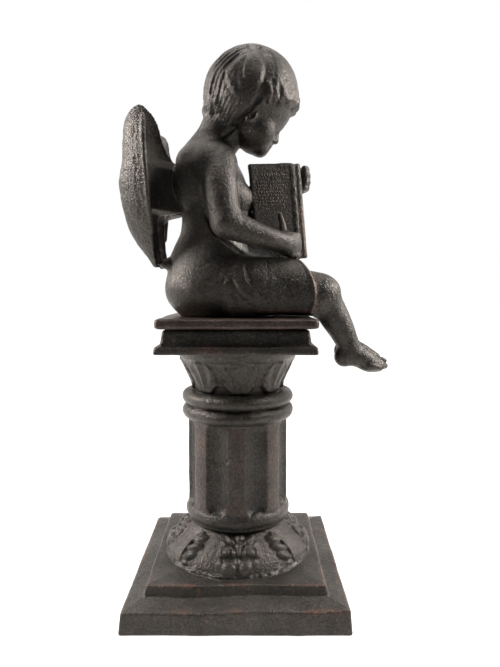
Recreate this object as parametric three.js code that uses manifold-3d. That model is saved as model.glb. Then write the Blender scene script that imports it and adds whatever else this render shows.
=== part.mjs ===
// Cast-iron angel statue: a seated cherub reading a book, on a short fluted
// column with a leaf capital and a stepped square base. Four castings, stacked:
//   base       stepped square plinth with a domed foot carrying eight ornaments
//   column     fluted shaft, collar rings, leaf capital, abacus and block in one
//   seat_slab  thin square plate on the block
//   angel      figure, wings, cloth and book cast in one
// Millimetres, +Z up. The origin is the centre of the base's underside.
// The angel faces +X; its right side is towards -Y.
import * as THREE from "three";
import { mergeVertices } from "three/addons/utils/BufferGeometryUtils.js";
import Module from "manifold-3d";

// ---------------------------------------------------------------- sizes (mm)
const GAP = 0.3; // joint between two castings

// base
const PLINTH_HALF = 57.0; // half side at the underside
const PLINTH_TOP_HALF = 55.8; // half side at the top of its vertical face
const PLINTH_EDGE_Z = 11.2; // top of the vertical face
const PLINTH_SLOPE_Z = 13.7; // foot of the second step
const STEP_HALF = 46.7;
const STEP_TOP_HALF = 45.1;
const STEP_EDGE_Z = 18.9;
const STEP_TOP_Z = 19.9;
const DOME_R = 41.2; // radius of the domed foot at its foot
const DOME_TOP_R = 27.6;
const DOME_TOP_Z = 37.6;
const ORNAMENTS = 8;
const DOME_MID_R = 36.6; // where the ornaments sit
const DOME_MID_Z = 27.6;

// column
const COLUMN_Z = DOME_TOP_Z + GAP;
const TORUS_R = 29.6; // outer radius of the foot torus
const TORUS_Z = 42.6;
const TORUS_HALF = 4.4;
const SHAFT_R = 28.1;
const FLUTES = 8;
const FLUTE_R = 8.8; // radius of the cutter
const FLUTE_DEPTH = 2.9;
const FLUTE_LOW = 47.4; // lowest and highest reach of the cutter
const FLUTE_HIGH = 95.4;
const RING_R = 31.4; // outer radius of the two collar rings
const RING_LOW_Z = 99.4;
const RING_HIGH_Z = 107.2;
const RING_HALF = 3.8;
const BELL_R = 24.4; // capital, at its foot
const BELL = [[111, 24.5], [117, 25.7], [122.5, 28.3], [128, 31.4], [131, 32.9], [134.8, 34.4]]; // [z, radius] of its curve
const BELL_Z = 111.2;
const ABACUS_Z = 134.4;
const LEAVES = 8;
const LEAF_PROUD = 2.0;
const ABACUS_HALF = 41.0;
const ABACUS_THICK = 4.6;
const BLOCK_HALF = 37.4;
const BLOCK_TOP_Z = 146.7;

// seat slab
const SLAB_HALF = 41.0;
const SLAB_THICK = 5.2;
const SLAB_Z = BLOCK_TOP_Z + GAP;
const SLAB_TURN = 0.012; // it sits a hair out of square

// angel
const SEAT_Z = SLAB_Z + SLAB_THICK + GAP;
const HEAD = [7.6, 0, 272]; // centre of the hair cap
const HEAD_R = [26.0, 24.2, 25.9];
const LOCKS = 8; // locks of hair round the cap
const CROWN_TILT = 0.2; // the crown sits forward of the top
const HIP_HALF = 31; // half width over the hips
const ARM_HALF = 28; // half width over the upper arms' centres
const KNEE = [44, 15, 164.6]; // right knee, mirrored in Y
const WING_LOW_Z = 178;
const WING_HIGH_Z = 259;
// inner edge of the wing's front [z, x, y]: free below, let into the back, then out to the tip
const WING_INNER = [
  [178, -37.8, -9.5], [190, -41.0, -10.3], [203, -42.0, -11.1], [207, -38.0, -9.5], [211, -30.0, -6.5], [229.5, -30.0, -6.5],
  [234.5, -33.6, -8.5], [238, -36.2, -10.4], [241.7, -37.9, -12.4], [245.4, -38.9, -14.6], [249.3, -39.4, -17.0], [255.4, -40.6, -21.5], [259, -41.8, -24.2],
];
const WING_SWELL = 18.2;
const WING_LEVELS = [0, 0.03, 0.12, 0.24, 0.31, 0.37, 0.408, 0.52, 0.636, 0.74, 0.83, 0.91, 0.965, 1];
const BOOK_H = 52;
const BOOK_W = 27.5;
const BOOK_T = 3.6;

// ------------------------------------------------------------------ helpers
const wasm = await Module();
wasm.setup();
const { Manifold, Mesh: ManifoldMesh } = wasm;
const V = (x, y, z) => new THREE.Vector3(x, y, z);

// A closed geometry as a solid: shared vertices merged, empty faces dropped.
function solid(geometry) {
  const bare = new THREE.BufferGeometry();
  bare.setAttribute("position", geometry.getAttribute("position"));
  if (geometry.index) bare.setIndex(geometry.index);
  const merged = mergeVertices(bare, 1e-4);
  const tris = [];
  const ix = merged.index.array;
  for (let i = 0; i < ix.length; i += 3)
    if (ix[i] !== ix[i + 1] && ix[i + 1] !== ix[i + 2] && ix[i] !== ix[i + 2])
      tris.push(ix[i], ix[i + 1], ix[i + 2]);
  const make = (t) =>
    new Manifold(
      new ManifoldMesh({
        numProp: 3,
        vertProperties: new Float32Array(merged.attributes.position.array),
        triVerts: new Uint32Array(t),
      }),
    );
  const made = make(tris);
  if (made.volume() >= 0) return made;
  for (let i = 0; i < tris.length; i += 3)
    [tris[i + 1], tris[i + 2]] = [tris[i + 2], tris[i + 1]];
  return make(tris);
}

function unite(list) {
  return list.reduce((a, b) => a.add(b));
}

function meshOf(name, body, material) {
  const m = body.getMesh();
  const v = new Float32Array(m.numVert * 3);
  for (let i = 0; i < m.numVert; i++)
    v.set(m.vertProperties.subarray(i * m.numProp, i * m.numProp + 3), i * 3);
  const g = new THREE.BufferGeometry();
  g.setAttribute("position", new THREE.BufferAttribute(v, 3));
  g.setIndex(new THREE.BufferAttribute(new Uint32Array(m.triVerts), 1));
  g.computeVertexNormals();
  const mesh = new THREE.Mesh(g, material);
  mesh.name = name;
  return mesh;
}

// Closed skin over rings of points, with a fan over each end.
function skin(rings) {
  const n = rings[0].length;
  const pos = [];
  const index = [];
  for (const r of rings) for (const p of r) pos.push(p.x, p.y, p.z);
  for (let i = 0; i + 1 < rings.length; i++)
    for (let j = 0; j < n; j++) {
      const a = i * n + j;
      const b = i * n + ((j + 1) % n);
      index.push(a, b, b + n, a, b + n, a + n);
    }
  const cap = (ring, base, flip) => {
    const c = ring.reduce((s, p) => s.add(p), V(0, 0, 0)).divideScalar(n);
    const k = pos.length / 3;
    pos.push(c.x, c.y, c.z);
    for (let j = 0; j < n; j++) {
      const a = base + j;
      const b = base + ((j + 1) % n);
      if (flip) index.push(k, b, a);
      else index.push(k, a, b);
    }
  };
  cap(rings[0], 0, true);
  cap(rings[rings.length - 1], (rings.length - 1) * n, false);
  const g = new THREE.BufferGeometry();
  g.setAttribute("position", new THREE.Float32BufferAttribute(pos, 3));
  g.setIndex(index);
  return solid(g);
}

// Ellipsoid with half axes r, turned by Euler angles.
function ell(c, r, turn = [0, 0, 0], wide = 12, high = 8) {
  const g = new THREE.SphereGeometry(1, wide, high);
  g.rotateX(Math.PI / 2);
  g.scale(...r);
  g.applyMatrix4(
    new THREE.Matrix4().makeRotationFromEuler(new THREE.Euler(...turn)),
  );
  g.translate(...c);
  return solid(g);
}

// Round limb through points [x, y, z, radius], with rounded ends; the last end
// can be left flat.
function limb(points, sides = 8, steps = 5, flatEnd = false) {
  const curve = new THREE.CatmullRomCurve3(
    points.map((p) => V(p[0], p[1], p[2])),
    false,
    "centripetal",
  );
  const radius = (t) => {
    const s = t * (points.length - 1);
    const i = Math.min(Math.floor(s), points.length - 2);
    const f = s - i;
    const e = f * f * (3 - 2 * f);
    return points[i][3] * (1 - e) + points[i + 1][3] * e;
  };
  const frames = curve.computeFrenetFrames(steps, false);
  const rings = [];
  const ring = (c, n, b, r) =>
    Array.from({ length: sides }, (_, j) => {
      const a = (2 * Math.PI * j) / sides;
      return c
        .clone()
        .addScaledVector(n, r * Math.cos(a))
        .addScaledVector(b, r * Math.sin(a));
    });
  for (let i = 0; i <= steps; i++) {
    const t = i / steps;
    const c = curve.getPoint(t);
    const [n, b, d] = [frames.normals[i], frames.binormals[i], frames.tangents[i]];
    const r = radius(t);
    if (i === 0)
      for (const a of [62])
        rings.push(ring(c.clone().addScaledVector(d, -r * Math.sin((a * Math.PI) / 180)), n, b, r * Math.cos((a * Math.PI) / 180)));
    rings.push(ring(c, n, b, r));
    if (i === steps && !flatEnd)
      for (const a of [62])
        rings.push(ring(c.clone().addScaledVector(d, r * Math.sin((a * Math.PI) / 180)), n, b, r * Math.cos((a * Math.PI) / 180)));
  }
  return skin(rings);
}

// Upright body through level ellipses [z, x, y, half x, half y].
function barrel(levels, sides = 12) {
  return skin(
    levels.map(([z, x, y, rx, ry]) =>
      Array.from({ length: sides }, (_, j) => {
        const a = (2 * Math.PI * j) / sides;
        return V(x + rx * Math.cos(a), y + ry * Math.sin(a), z);
      }),
    ),
  );
}

// Body turned about +Z from a profile [radius, z]; four sides give a square one.
function turned(profile, sides) {
  const square = sides === 4;
  const k = square ? Math.SQRT2 : 1;
  const g = new THREE.LatheGeometry(
    profile.map(([r, z]) => new THREE.Vector2(r * k, z)),
    sides,
    square ? Math.PI / 4 : 0,
  );
  g.rotateX(Math.PI / 2);
  return solid(g);
}

// Half-round bead on a profile, from below to above.
function bead(outer, z, half, steps = 4) {
  return Array.from({ length: steps + 1 }, (_, i) => {
    const a = -Math.PI / 2 + (Math.PI * i) / steps;
    return [outer - half * 0.92 + half * 0.92 * Math.cos(a), z + half * Math.sin(a)];
  });
}

// Value of column k of a table, at the height z of its first column.
function along(table, z, k) {
  if (z <= table[0][0]) return table[0][k];
  for (let i = 1; i < table.length; i++)
    if (z <= table[i][0]) {
      const t = (z - table[i - 1][0]) / (table[i][0] - table[i - 1][0]);
      return table[i - 1][k] + (table[i][k] - table[i - 1][k]) * t;
    }
  return table[table.length - 1][k];
}

const mirrorY = (p) => [p[0], -p[1], ...p.slice(2)];

// --------------------------------------------------------------------- base
function makeBase() {
  const plinth = turned(
    [
      [0, 0],
      [PLINTH_HALF, 0],
      [PLINTH_TOP_HALF, PLINTH_EDGE_Z],
      [STEP_HALF, PLINTH_SLOPE_Z],
      [STEP_TOP_HALF, STEP_EDGE_Z],
      [DOME_R - 8, STEP_TOP_Z],
      [0, STEP_TOP_Z],
    ],
    4,
  );
  // domed foot: a swelling ovolo under a plain neck
  const bulge = (t) => DOME_R + (DOME_TOP_R - DOME_R) * t + 2.6 * Math.sin(Math.PI * t);
  const steps = 3;
  const profile = [[0, STEP_EDGE_Z - 4], [DOME_R, STEP_EDGE_Z - 4], [DOME_R, STEP_TOP_Z]];
  for (let i = 1; i <= steps; i++) {
    const t = i / steps;
    profile.push([bulge(t), STEP_TOP_Z + (DOME_TOP_Z - 1.8 - STEP_TOP_Z) * t]);
  }
  profile.push([DOME_TOP_R - 0.6, DOME_TOP_Z], [0, DOME_TOP_Z]);
  let body = plinth.add(turned(profile, 20));
  // ornaments: palmettes and scrolled leaves in turn
  const slope = Math.atan2(DOME_TOP_Z - STEP_TOP_Z, DOME_R - DOME_TOP_R);
  const place = (lobe, angle) => {
    const g = new THREE.SphereGeometry(1, 6, 3);
    const [side, up, half, tall, turn] = lobe;
    g.rotateX(Math.PI / 2); // the pole outwards
    g.scale(half, tall, 2.6);
    g.rotateZ(turn);
    g.translate(side, up, 0);
    // from the ornament's own plane onto the dome
    g.rotateX(slope);
    g.rotateZ(Math.PI / 2);
    g.translate(DOME_MID_R, 0, DOME_MID_Z);
    g.rotateZ(angle);
    return solid(g);
  };
  const palmette = [
    [0, 6.0, 3.6, 5.0, 0],
    [-5.2, 1.6, 3.2, 4.8, 0.8],
    [5.2, 1.6, 3.2, 4.8, -0.8],
    [-3.4, -5.6, 3.6, 3.6, 0],
    [3.4, -5.6, 3.6, 3.6, 0],
  ];
  const scroll = [
    [-0.8, 5.2, 3.2, 5.6, 0.5],
    [0.6, -0.4, 3.0, 6.0, 0.9],
    [-0.6, -6.0, 3.4, 4.2, 0.9],
  ];
  for (let i = 0; i < ORNAMENTS; i++) {
    const angle = -Math.PI / 2 + (2 * Math.PI * i) / ORNAMENTS;
    for (const lobe of i % 2 ? scroll : palmette) body = body.add(place(lobe, angle));
  }
  return body;
}

// ------------------------------------------------------------------- column
function bellR(z) {
  return along(BELL, z, 1);
}

function makeColumn() {
  const profile = [
    [0, COLUMN_Z],
    [TORUS_R - 3.6, COLUMN_Z],
    ...bead(TORUS_R, TORUS_Z, TORUS_HALF),
    [SHAFT_R, TORUS_Z + TORUS_HALF + 0.8],
    [SHAFT_R - 0.2, RING_LOW_Z - RING_HALF - 0.2],
    ...bead(RING_R, RING_LOW_Z, RING_HALF),
    ...bead(RING_R, RING_HIGH_Z, RING_HALF).slice(1),
    [BELL_R - 4, RING_HIGH_Z + RING_HALF + 0.1],
    [0, RING_HIGH_Z + RING_HALF + 0.1],
  ];
  let body = turned(profile, 28);
  // flutes, round at both ends
  for (let i = 0; i < FLUTES; i++) {
    const a = -Math.PI / 2 + (Math.PI * (2 * i + 1)) / FLUTES;
    const g = new THREE.CapsuleGeometry(FLUTE_R, FLUTE_HIGH - FLUTE_LOW - 2 * FLUTE_R, 2, 10);
    g.rotateX(Math.PI / 2);
    const far = SHAFT_R - FLUTE_DEPTH + FLUTE_R;
    g.translate(far * Math.cos(a), far * Math.sin(a), (FLUTE_LOW + FLUTE_HIGH) / 2);
    body = body.subtract(solid(g));
  }
  // leaves hanging round the capital: tongues with a rounded foot and a rib
  const across = 6; // points over one leaf
  const rings = [];
  const rows = 5;
  for (let k = 0; k <= rows; k++) {
    const t = k / rows;
    const z = RING_HIGH_Z + RING_HALF - 1.2 + (ABACUS_Z + 0.4 - RING_HIGH_Z - RING_HALF + 1.2) * t;
    const ring = [];
    for (let j = 0; j < LEAVES * across; j++) {
      const a = -Math.PI / 2 + (2 * Math.PI * j) / (LEAVES * across);
      const u = (j % across) / across; // 0 on a rib, 0.5 between two leaves
      const half = 0.5 * Math.min(1, 0.25 + 1.5 * Math.sqrt(Math.max(0, t - 0.02)));
      const near = Math.min(u, 1 - u) / half;
      const leaf = Math.max(0, 1 - near ** 3) * Math.min(1, 6 * (0.98 - t));
      const r = bellR(Math.min(Math.max(z, BELL_Z), ABACUS_Z)) - 0.9 + LEAF_PROUD * leaf + (u === 0 ? 0.5 * leaf : 0);
      ring.push(V(r * Math.cos(a), r * Math.sin(a), z));
    }
    rings.push(ring);
  }
  body = body.add(skin(rings));
  // abacus with a coved top, and the block on it
  const top = turned(
    [
      [0, ABACUS_Z],
      [ABACUS_HALF - 0.7, ABACUS_Z],
      [ABACUS_HALF, ABACUS_Z + 0.7],
      [ABACUS_HALF - 0.3, ABACUS_Z + ABACUS_THICK - 1.2],
      [ABACUS_HALF - 2.6, ABACUS_Z + ABACUS_THICK],
      [BLOCK_HALF + 0.4, ABACUS_Z + ABACUS_THICK + 1.4],
      [BLOCK_HALF, ABACUS_Z + ABACUS_THICK + 3],
      [BLOCK_HALF - 0.5, BLOCK_TOP_Z - 1.4],
      [BLOCK_HALF - 1.9, BLOCK_TOP_Z],
      [0, BLOCK_TOP_Z],
    ],
    4,
  );
  return body.add(top);
}

// --------------------------------------------------------------------- slab
function makeSlab() {
  const h = SLAB_HALF - 1.1;
  const r = 2.4;
  const shape = new THREE.Shape();
  shape.moveTo(-h + r, -h);
  shape.lineTo(h - r, -h);
  shape.quadraticCurveTo(h, -h, h, -h + r);
  shape.lineTo(h, h - r);
  shape.quadraticCurveTo(h, h, h - r, h);
  shape.lineTo(-h + r, h);
  shape.quadraticCurveTo(-h, h, -h, h - r);
  shape.lineTo(-h, -h + r);
  shape.quadraticCurveTo(-h, -h, -h + r, -h);
  const g = new THREE.ExtrudeGeometry(shape, {
    depth: SLAB_THICK - 2.2,
    bevelEnabled: true,
    bevelThickness: 1.1,
    bevelSize: 1.1,
    bevelSegments: 2,
    curveSegments: 2,
  });
  g.translate(0, 0, 1.1);
  return solid(g);
}

// -------------------------------------------------------------------- angel
// Wing of the right side, as level sections: a hollowed front from the inner
// edge to the outer rib, and a swelling back. Between the two root levels the
// inner edge runs into the back of the figure.
const smooth = (lo, hi, x) => {
  const t = Math.min(1, Math.max(0, (x - lo) / (hi - lo)));
  return t * t * (3 - 2 * t);
};

function makeWing() {
  const tall = WING_HIGH_Z - WING_LOW_Z;
  const rings = [];
  for (const v of WING_LEVELS) {
    const z = WING_LOW_Z + tall * v;
    // outer rib: swings out from the waist to the shoulder and back at the tip
    const out = 10.5 + 23 * Math.sin((Math.PI / 2) * Math.min(1, v / 0.72)) ** 0.8 - 4 * smooth(0.75, 1, v);
    const b = V(-41.2 - 4.6 * v, -out, 0);
    // inner edge, free above and below the root
    const free = V(-37.8 - 4.8 * smooth(0.02, 0.34, v) + 1.8 * smooth(0.6, 0.9, v), -9.5 - 5 * v - 10 * smooth(0.7, 1, v), 0);
    const a = V(along(WING_INNER, z, 1), along(WING_INNER, z, 2), 0);
    free.lerp(a, smooth(229, 240, z));
    const swell = WING_SWELL * Math.sin(Math.PI * Math.min(1, 0.11 + 0.7 * v)) ** 0.75;
    const edge = 6.2;
    const hollow = 3.2;
    const back = V(-0.95, 0.3, 0);
    const at = (s, depth, from = free) =>
      V(from.x, from.y, z).addScaledVector(V(b.x - from.x, b.y - from.y, 0), s).addScaledVector(back, depth);
    const ring = [];
    for (const s of [0, 0.35, 0.7, 1]) ring.push(at(s, hollow * Math.sin(Math.PI * s), a));
    ring.push(at(1.04, edge * 0.5), at(0.99, edge));
    for (const s of [0.82, 0.58, 0.34, 0.1])
      ring.push(at(s, edge * s + (swell - 0.5 * edge) * Math.sin(Math.PI * (0.1 + 0.84 * s))));
    // blunt rounded tip above, a slimmer one below
    const cap = Math.sqrt(1 - Math.max(0, (v - 0.85) / 0.153) ** 2.3) * Math.min(1, 0.3 + 3.4 * v);
    const c = at(0.6, 0.3 * swell);
    rings.push(ring.map((p) => p.sub(c).multiplyScalar(cap).add(c).setZ(z)));
  }
  return skin(rings);
}

// One cover of the open book: a slab hinged at the spine.
function makeCover(angle) {
  const r = 3;
  const shape = new THREE.Shape();
  shape.moveTo(0, -BOOK_H / 2);
  shape.lineTo(0, BOOK_H / 2 - r);
  shape.quadraticCurveTo(0, BOOK_H / 2, -r, BOOK_H / 2);
  shape.lineTo(-BOOK_W, BOOK_H / 2);
  shape.lineTo(-BOOK_W, -BOOK_H / 2);
  const g = new THREE.ExtrudeGeometry(shape, { depth: BOOK_T, bevelEnabled: false, curveSegments: 4 });
  g.translate(0, 0, -BOOK_T / 2);
  g.rotateX(Math.PI / 2); // upright, face towards -Y
  g.rotateZ(angle);
  g.rotateY(-0.075); // leans back towards the reader
  g.translate(35.2, -2.0, 208.8);
  return solid(g);
}

// Hair as one skin round the crown: locks as scallops, longer behind than over
// the brow, with a rolled edge.
function makeHair() {
  const sides = LOCKS * 3;
  const rows = 6;
  const pole = V(Math.sin(CROWN_TILT), 0, Math.cos(CROWN_TILT));
  const front = V(Math.cos(CROWN_TILT), 0, -Math.sin(CROWN_TILT));
  const rings = [];
  for (let i = 0; i <= rows + 1; i++) {
    const ring = [];
    for (let j = 0; j < sides; j++) {
      const f = (2 * Math.PI * j) / sides;
      const end = 1.66 + 0.46 * smooth(0.5, 1.3, Math.min(f, 2 * Math.PI - f)) - 0.12 * smooth(2.2, 3.1, Math.min(f, 2 * Math.PI - f));
      const t = Math.min(1, i / rows);
      const a = 0.16 + (end - 0.16) * t;
      const lock = j % 3 === 0 ? -0.035 : 0.012;
      const roll = 0.03 * smooth(0.7, 1, t);
      const k = i > rows ? 0.8 : 1 + lock * Math.sin(Math.PI * (0.12 + 0.8 * t)) + roll;
      const d = pole.clone().multiplyScalar(Math.cos(a));
      d.addScaledVector(front, Math.sin(a) * Math.cos(f)).addScaledVector(V(0, 1, 0), Math.sin(a) * Math.sin(f));
      ring.push(V(HEAD[0] + d.x * HEAD_R[0] * k, HEAD[1] + d.y * HEAD_R[1] * k, HEAD[2] + d.z * HEAD_R[2] * k));
    }
    rings.push(ring);
  }
  return skin(rings);
}

function makeAngel() {
  const parts = [];
  const both = (points, ...rest) => {
    parts.push(limb(points, ...rest), limb(points.map(mirrorY), ...rest));
  };

  // trunk, hips and neck
  parts.push(
    barrel([
      [160, -16, 0, 18, 23],
      [176, -15, 0, 23.5, 26],
      [189, -13, 0, 21.8, 23.5],
      [201, -11.5, 0, 19.3, 22],
      [214, -13.4, 0, 19.8, 23],
      [227, -14.8, 0, 19.8, 23.5],
      [236, -16.8, 0, 17.2, 18.5],
      [244, -16.6, 0, 13.4, 13],
      [251, -13.0, 0, 10.8, 10.5],
    ]),
    ell([-17.6, 0, 168.4], [24.6, HIP_HALF, 19.8], [0, 0, 0], 14, 7),
    limb([[-15, 0, 240, 12.5], [-3, 0, 260, 13]], 10, 2),
  );

  // head: hair, skull and face, nose, chin
  parts.push(
    makeHair(),
    ell([10.4, 0, 263.5], [15.4, 19.4, 13], [0, 0, 0], 12, 7),
    ell([9.8, 0, 256.0], [13.2, 16.4, 14.6], [0, 0.3, 0], 12, 8),
    ell([21.6, 0, 254.8], [2.8, 2.6, 2.8], [0, 0, 0], 6, 4),
  );

  // arms: the right one lies along the lap, the left one reaches up the spine of the book
  parts.push(
    limb([[-11, -16.5, 232, 10.2], [-8.6, -26, 222, 9.2], [-7.2, -29.4, 211, 8.7], [-4.6, -31, 200.5, 8.1]], 10, 5),
    limb([[-4.4, -31, 199.6, 8.1], [8, -28.4, 195.4, 6.4], [23, -21.6, 191.2, 5.5]], 8, 4),
    ell([28, -16, 190.6], [6.4, 6.0, 6.8], [0, 0.15, 0.55], 9, 6),
    limb([[24.6, -16.6, 195.6, 2.2], [23.0, -14.0, 205.4, 1.4]], 5, 2),
    limb([[-11, 16.5, 232, 10.2], [-7.4, 26, 222, 9.2], [-4.6, 29.4, 211, 8.7], [-1.4, 29.6, 202.6, 8.0]], 10, 5),
    limb([[-1.2, 29.6, 202.2, 8.0], [12, 25.4, 208, 6.4], [29.6, 12, 221, 5.2]], 8, 4),
    ell([33, 8.4, 226.6], [5.1, 5.8, 7.6], [0.4, -0.2, 0], 8, 6),
  );
  for (let i = 0; i < 4; i++) {
    const z = 232.6 - 3.7 * i;
    const bow = 1 - (i - 1.5) ** 2 * 0.3;
    parts.push(limb([[34.5, 8, z, 2.3], [37.4 + bow, 4.6, z + 0.4, 2.2], [37.2 + bow, -1.2, z, 2.0]], 5, 2));
  }

  // legs: knees out of the cloth, shins hanging over the slab's front edge
  const leg = (side, ahead, up) => {
    const p = (x, y, z, r) => [x + ahead, side * y, z + up, r];
    const [kx, ky, kz] = KNEE;
    parts.push(
      limb([p(kx - 12, ky, kz + 0.6, 12.2), p(kx - 1.6, ky, kz - 0.6, 11.6)], 10, 1),
      limb([p(kx - 0.5, ky, kz - 3.0, 9.6), p(kx + 6.6, ky, 155.9, 7.9), p(kx + 11.4, ky, 146.6, 7.2), p(kx + 17.0, ky, 134.6, 6.0)], 8, 5),
      limb([p(57.6, ky, 130.4, 5.2), p(64.6, ky - 0.4, 130.2, 6.0), p(72.4, ky - 0.8, 127.4, 4.7), p(79.4, ky - 0.8, 125.6, 3.0)], 8, 4),
    );
  };
  leg(-1, 0, 0);
  leg(1, 4.4, 0.2);

  // cloth over the lap: a full sheet with a rolled hem, folds at the hip
  const drape = (side, ahead) => {
    const q = (x, y, z, r) => [x, side * y, z, r];
    parts.push(
      limb([q(-6, 15.6, 169.0, 17.4), q(14, 16, 168.6, 17.2), q(40.2 + ahead, 15.4, 167.2, 14.6)], 11, 3, true),
      limb([q(35 + ahead, 20, 181, 1.4), q(39.6 + ahead, 27.8, 172, 1.9), q(39.0 + ahead, 29, 160, 1.9), q(37 + ahead, 27, 153.6, 1.6)], 5, 3),
      limb([q(-2, 22, 186, 1.2), q(7, 31.2, 173, 3.0), q(15, 31.4, 162, 2.8), q(25, 28.6, 154.2, 1.4)], 5, 3),
    );
    if (side < 0) parts.push(limb([q(-8, 27, 178, 1.0), q(-1, 31.0, 168, 2.8), q(3, 31.0, 155.0, 2.0)], 5, 3));
  };
  drape(-1, 0);
  drape(1, 2.0);
  parts.push(limb([[4, 0, 171, 13.0], [39.6, 0, 169.6, 11.0]], 9, 1, true));

  // wings, each tied to the waist at its lower tip
  const wing = makeWing();
  parts.push(wing, wing.mirror([0, 1, 0]));
  both([[-33, -6, 182.5, 4.2], [-40.0, -10.6, 180.6, 3.2]], 6, 2);

  // book: two covers and the spine between them
  parts.push(makeCover(0.16), makeCover(-0.34));
  parts.push(limb([[36.4, -2, 186, 2.4], [32.9, -2, 232, 2.4]], 6, 2));

  const body = unite(parts);
  // flat seat where the figure rests on the slab
  const under = new THREE.BoxGeometry(120, 120, 60);
  under.translate(41.4 - 60, 0, SEAT_Z - 30);
  return body.subtract(solid(under));
}

// -------------------------------------------------------------------- scene
const iron = (color, roughness) =>
  new THREE.MeshStandardMaterial({ color, roughness, metalness: 0.55 });

const statue = new THREE.Group();
statue.add(meshOf("base", makeBase(), iron(0x3d3733, 0.55)));
statue.add(meshOf("column", makeColumn(), iron(0x3a3633, 0.55)));
const slab = meshOf("seat_slab", makeSlab(), iron(0x3f3531, 0.5));
slab.position.z = SLAB_Z;
slab.rotation.z = SLAB_TURN;
statue.add(slab);
statue.add(meshOf("angel", makeAngel(), iron(0x3b3632, 0.5)));

export default statue;
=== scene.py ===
"""Looks of the cast-iron angel statue: a seated cherub reading a book, on a
fluted column with a leaf capital and a stepped base.

Each casting is sculpted as a distance field in millimetres, in the frame of the
CAD model, and meshed. Colour, wear and grain come from procedural materials.
"""
import math

import bpy
import numpy as np
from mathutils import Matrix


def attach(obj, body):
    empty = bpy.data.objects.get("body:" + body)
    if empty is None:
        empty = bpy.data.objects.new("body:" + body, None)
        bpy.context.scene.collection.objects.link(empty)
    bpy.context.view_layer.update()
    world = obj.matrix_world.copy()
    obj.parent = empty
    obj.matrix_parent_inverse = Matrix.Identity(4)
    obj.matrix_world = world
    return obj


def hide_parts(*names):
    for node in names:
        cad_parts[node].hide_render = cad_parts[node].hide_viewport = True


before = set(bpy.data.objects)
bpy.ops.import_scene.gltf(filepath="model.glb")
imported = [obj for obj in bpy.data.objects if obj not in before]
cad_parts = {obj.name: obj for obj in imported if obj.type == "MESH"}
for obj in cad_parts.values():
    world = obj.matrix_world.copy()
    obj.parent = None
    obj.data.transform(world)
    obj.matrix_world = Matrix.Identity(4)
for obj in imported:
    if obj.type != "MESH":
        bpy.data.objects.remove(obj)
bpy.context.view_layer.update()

F4 = np.float32
RNG_SEED = 7


# --------------------------------------------------------------------------
# distance-field toolkit (millimetres)
# --------------------------------------------------------------------------
def smin(a, b, k):
    h = np.clip(0.5 + 0.5 * (b - a) / k, 0.0, 1.0)
    return b + (a - b) * h - k * h * (1.0 - h)


def smax(a, b, k):
    return -smin(-a, -b, k)


def sstep(lo, hi, x):
    t = np.clip((x - lo) / (hi - lo), 0.0, 1.0)
    return t * t * (3.0 - 2.0 * t)


def catmull(points, n):
    """n points along a Catmull-Rom curve through rows of any length."""
    p = np.asarray(points, float)
    if len(p) == 2:
        t = np.linspace(0, 1, n)[:, None]
        return p[0] * (1 - t) + p[1] * t
    q = np.vstack([2 * p[0] - p[1], p, 2 * p[-1] - p[-2]])
    out = []
    for s in np.linspace(0, len(p) - 1, n):
        i = min(int(s), len(p) - 2)
        t = s - i
        a, b, c, d = q[i : i + 4]
        out.append(
            0.5
            * (
                2 * b
                + (c - a) * t
                + (2 * a - 5 * b + 4 * c - d) * t * t
                + (3 * b - a - 3 * c + d) * t**3
            )
        )
    return np.array(out)


def spline(xs, ys, at):
    """Smooth curve through (xs, ys), read at the values at."""
    xs = np.asarray(xs, float)
    ys = np.asarray(ys, float)
    m = np.gradient(ys, xs)
    at = np.clip(at, xs[0], xs[-1])
    i = np.clip(np.searchsorted(xs, at, side="right") - 1, 0, len(xs) - 2)
    h = xs[i + 1] - xs[i]
    t = (at - xs[i]) / h
    return (
        (2 * t**3 - 3 * t**2 + 1) * ys[i]
        + (t**3 - 2 * t**2 + t) * h * m[i]
        + (-2 * t**3 + 3 * t**2) * ys[i + 1]
        + (t**3 - t**2) * h * m[i + 1]
    )


def turn(rx=0.0, ry=0.0, rz=0.0):
    cx, sx, cy, sy, cz, sz = (
        math.cos(rx), math.sin(rx), math.cos(ry), math.sin(ry), math.cos(rz), math.sin(rz),
    )
    mx = np.array([[1, 0, 0], [0, cx, -sx], [0, sx, cx]])
    my = np.array([[cy, 0, sy], [0, 1, 0], [-sy, 0, cy]])
    mz = np.array([[cz, -sz, 0], [sz, cz, 0], [0, 0, 1]])
    return mz @ my @ mx


def ell_d(X, Y, Z, c, r, m=None):
    """Near-distance to an ellipsoid with half axes r, turned by matrix m."""
    dx, dy, dz = X - c[0], Y - c[1], Z - c[2]
    if m is not None:
        dx, dy, dz = (
            dx * m[0, 0] + dy * m[1, 0] + dz * m[2, 0],
            dx * m[0, 1] + dy * m[1, 1] + dz * m[2, 1],
            dx * m[0, 2] + dy * m[1, 2] + dz * m[2, 2],
        )
    a, b, e = dx / r[0], dy / r[1], dz / r[2]
    k0 = np.sqrt(a * a + b * b + e * e)
    k1 = np.sqrt((a / r[0]) ** 2 + (b / r[1]) ** 2 + (e / r[2]) ** 2) + 1e-6
    return k0 * (k0 - 1.0) / k1


def cone_d(X, Y, Z, p, q):
    """Distance to a round cone between rows (x, y, z, radius)."""
    d = q[:3] - p[:3]
    dd = float(d @ d) + 1e-9
    ax, ay, az = X - p[0], Y - p[1], Z - p[2]
    t = np.clip((ax * d[0] + ay * d[1] + az * d[2]) / dd, 0.0, 1.0)
    return np.sqrt((ax - t * d[0]) ** 2 + (ay - t * d[1]) ** 2 + (az - t * d[2]) ** 2) - (
        p[3] + t * (q[3] - p[3])
    )


def chain_d(X, Y, Z, pts):
    out = None
    for p, q in zip(pts[:-1], pts[1:]):
        d = cone_d(X, Y, Z, p, q)
        out = d if out is None else np.minimum(out, d)
    return out


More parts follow.
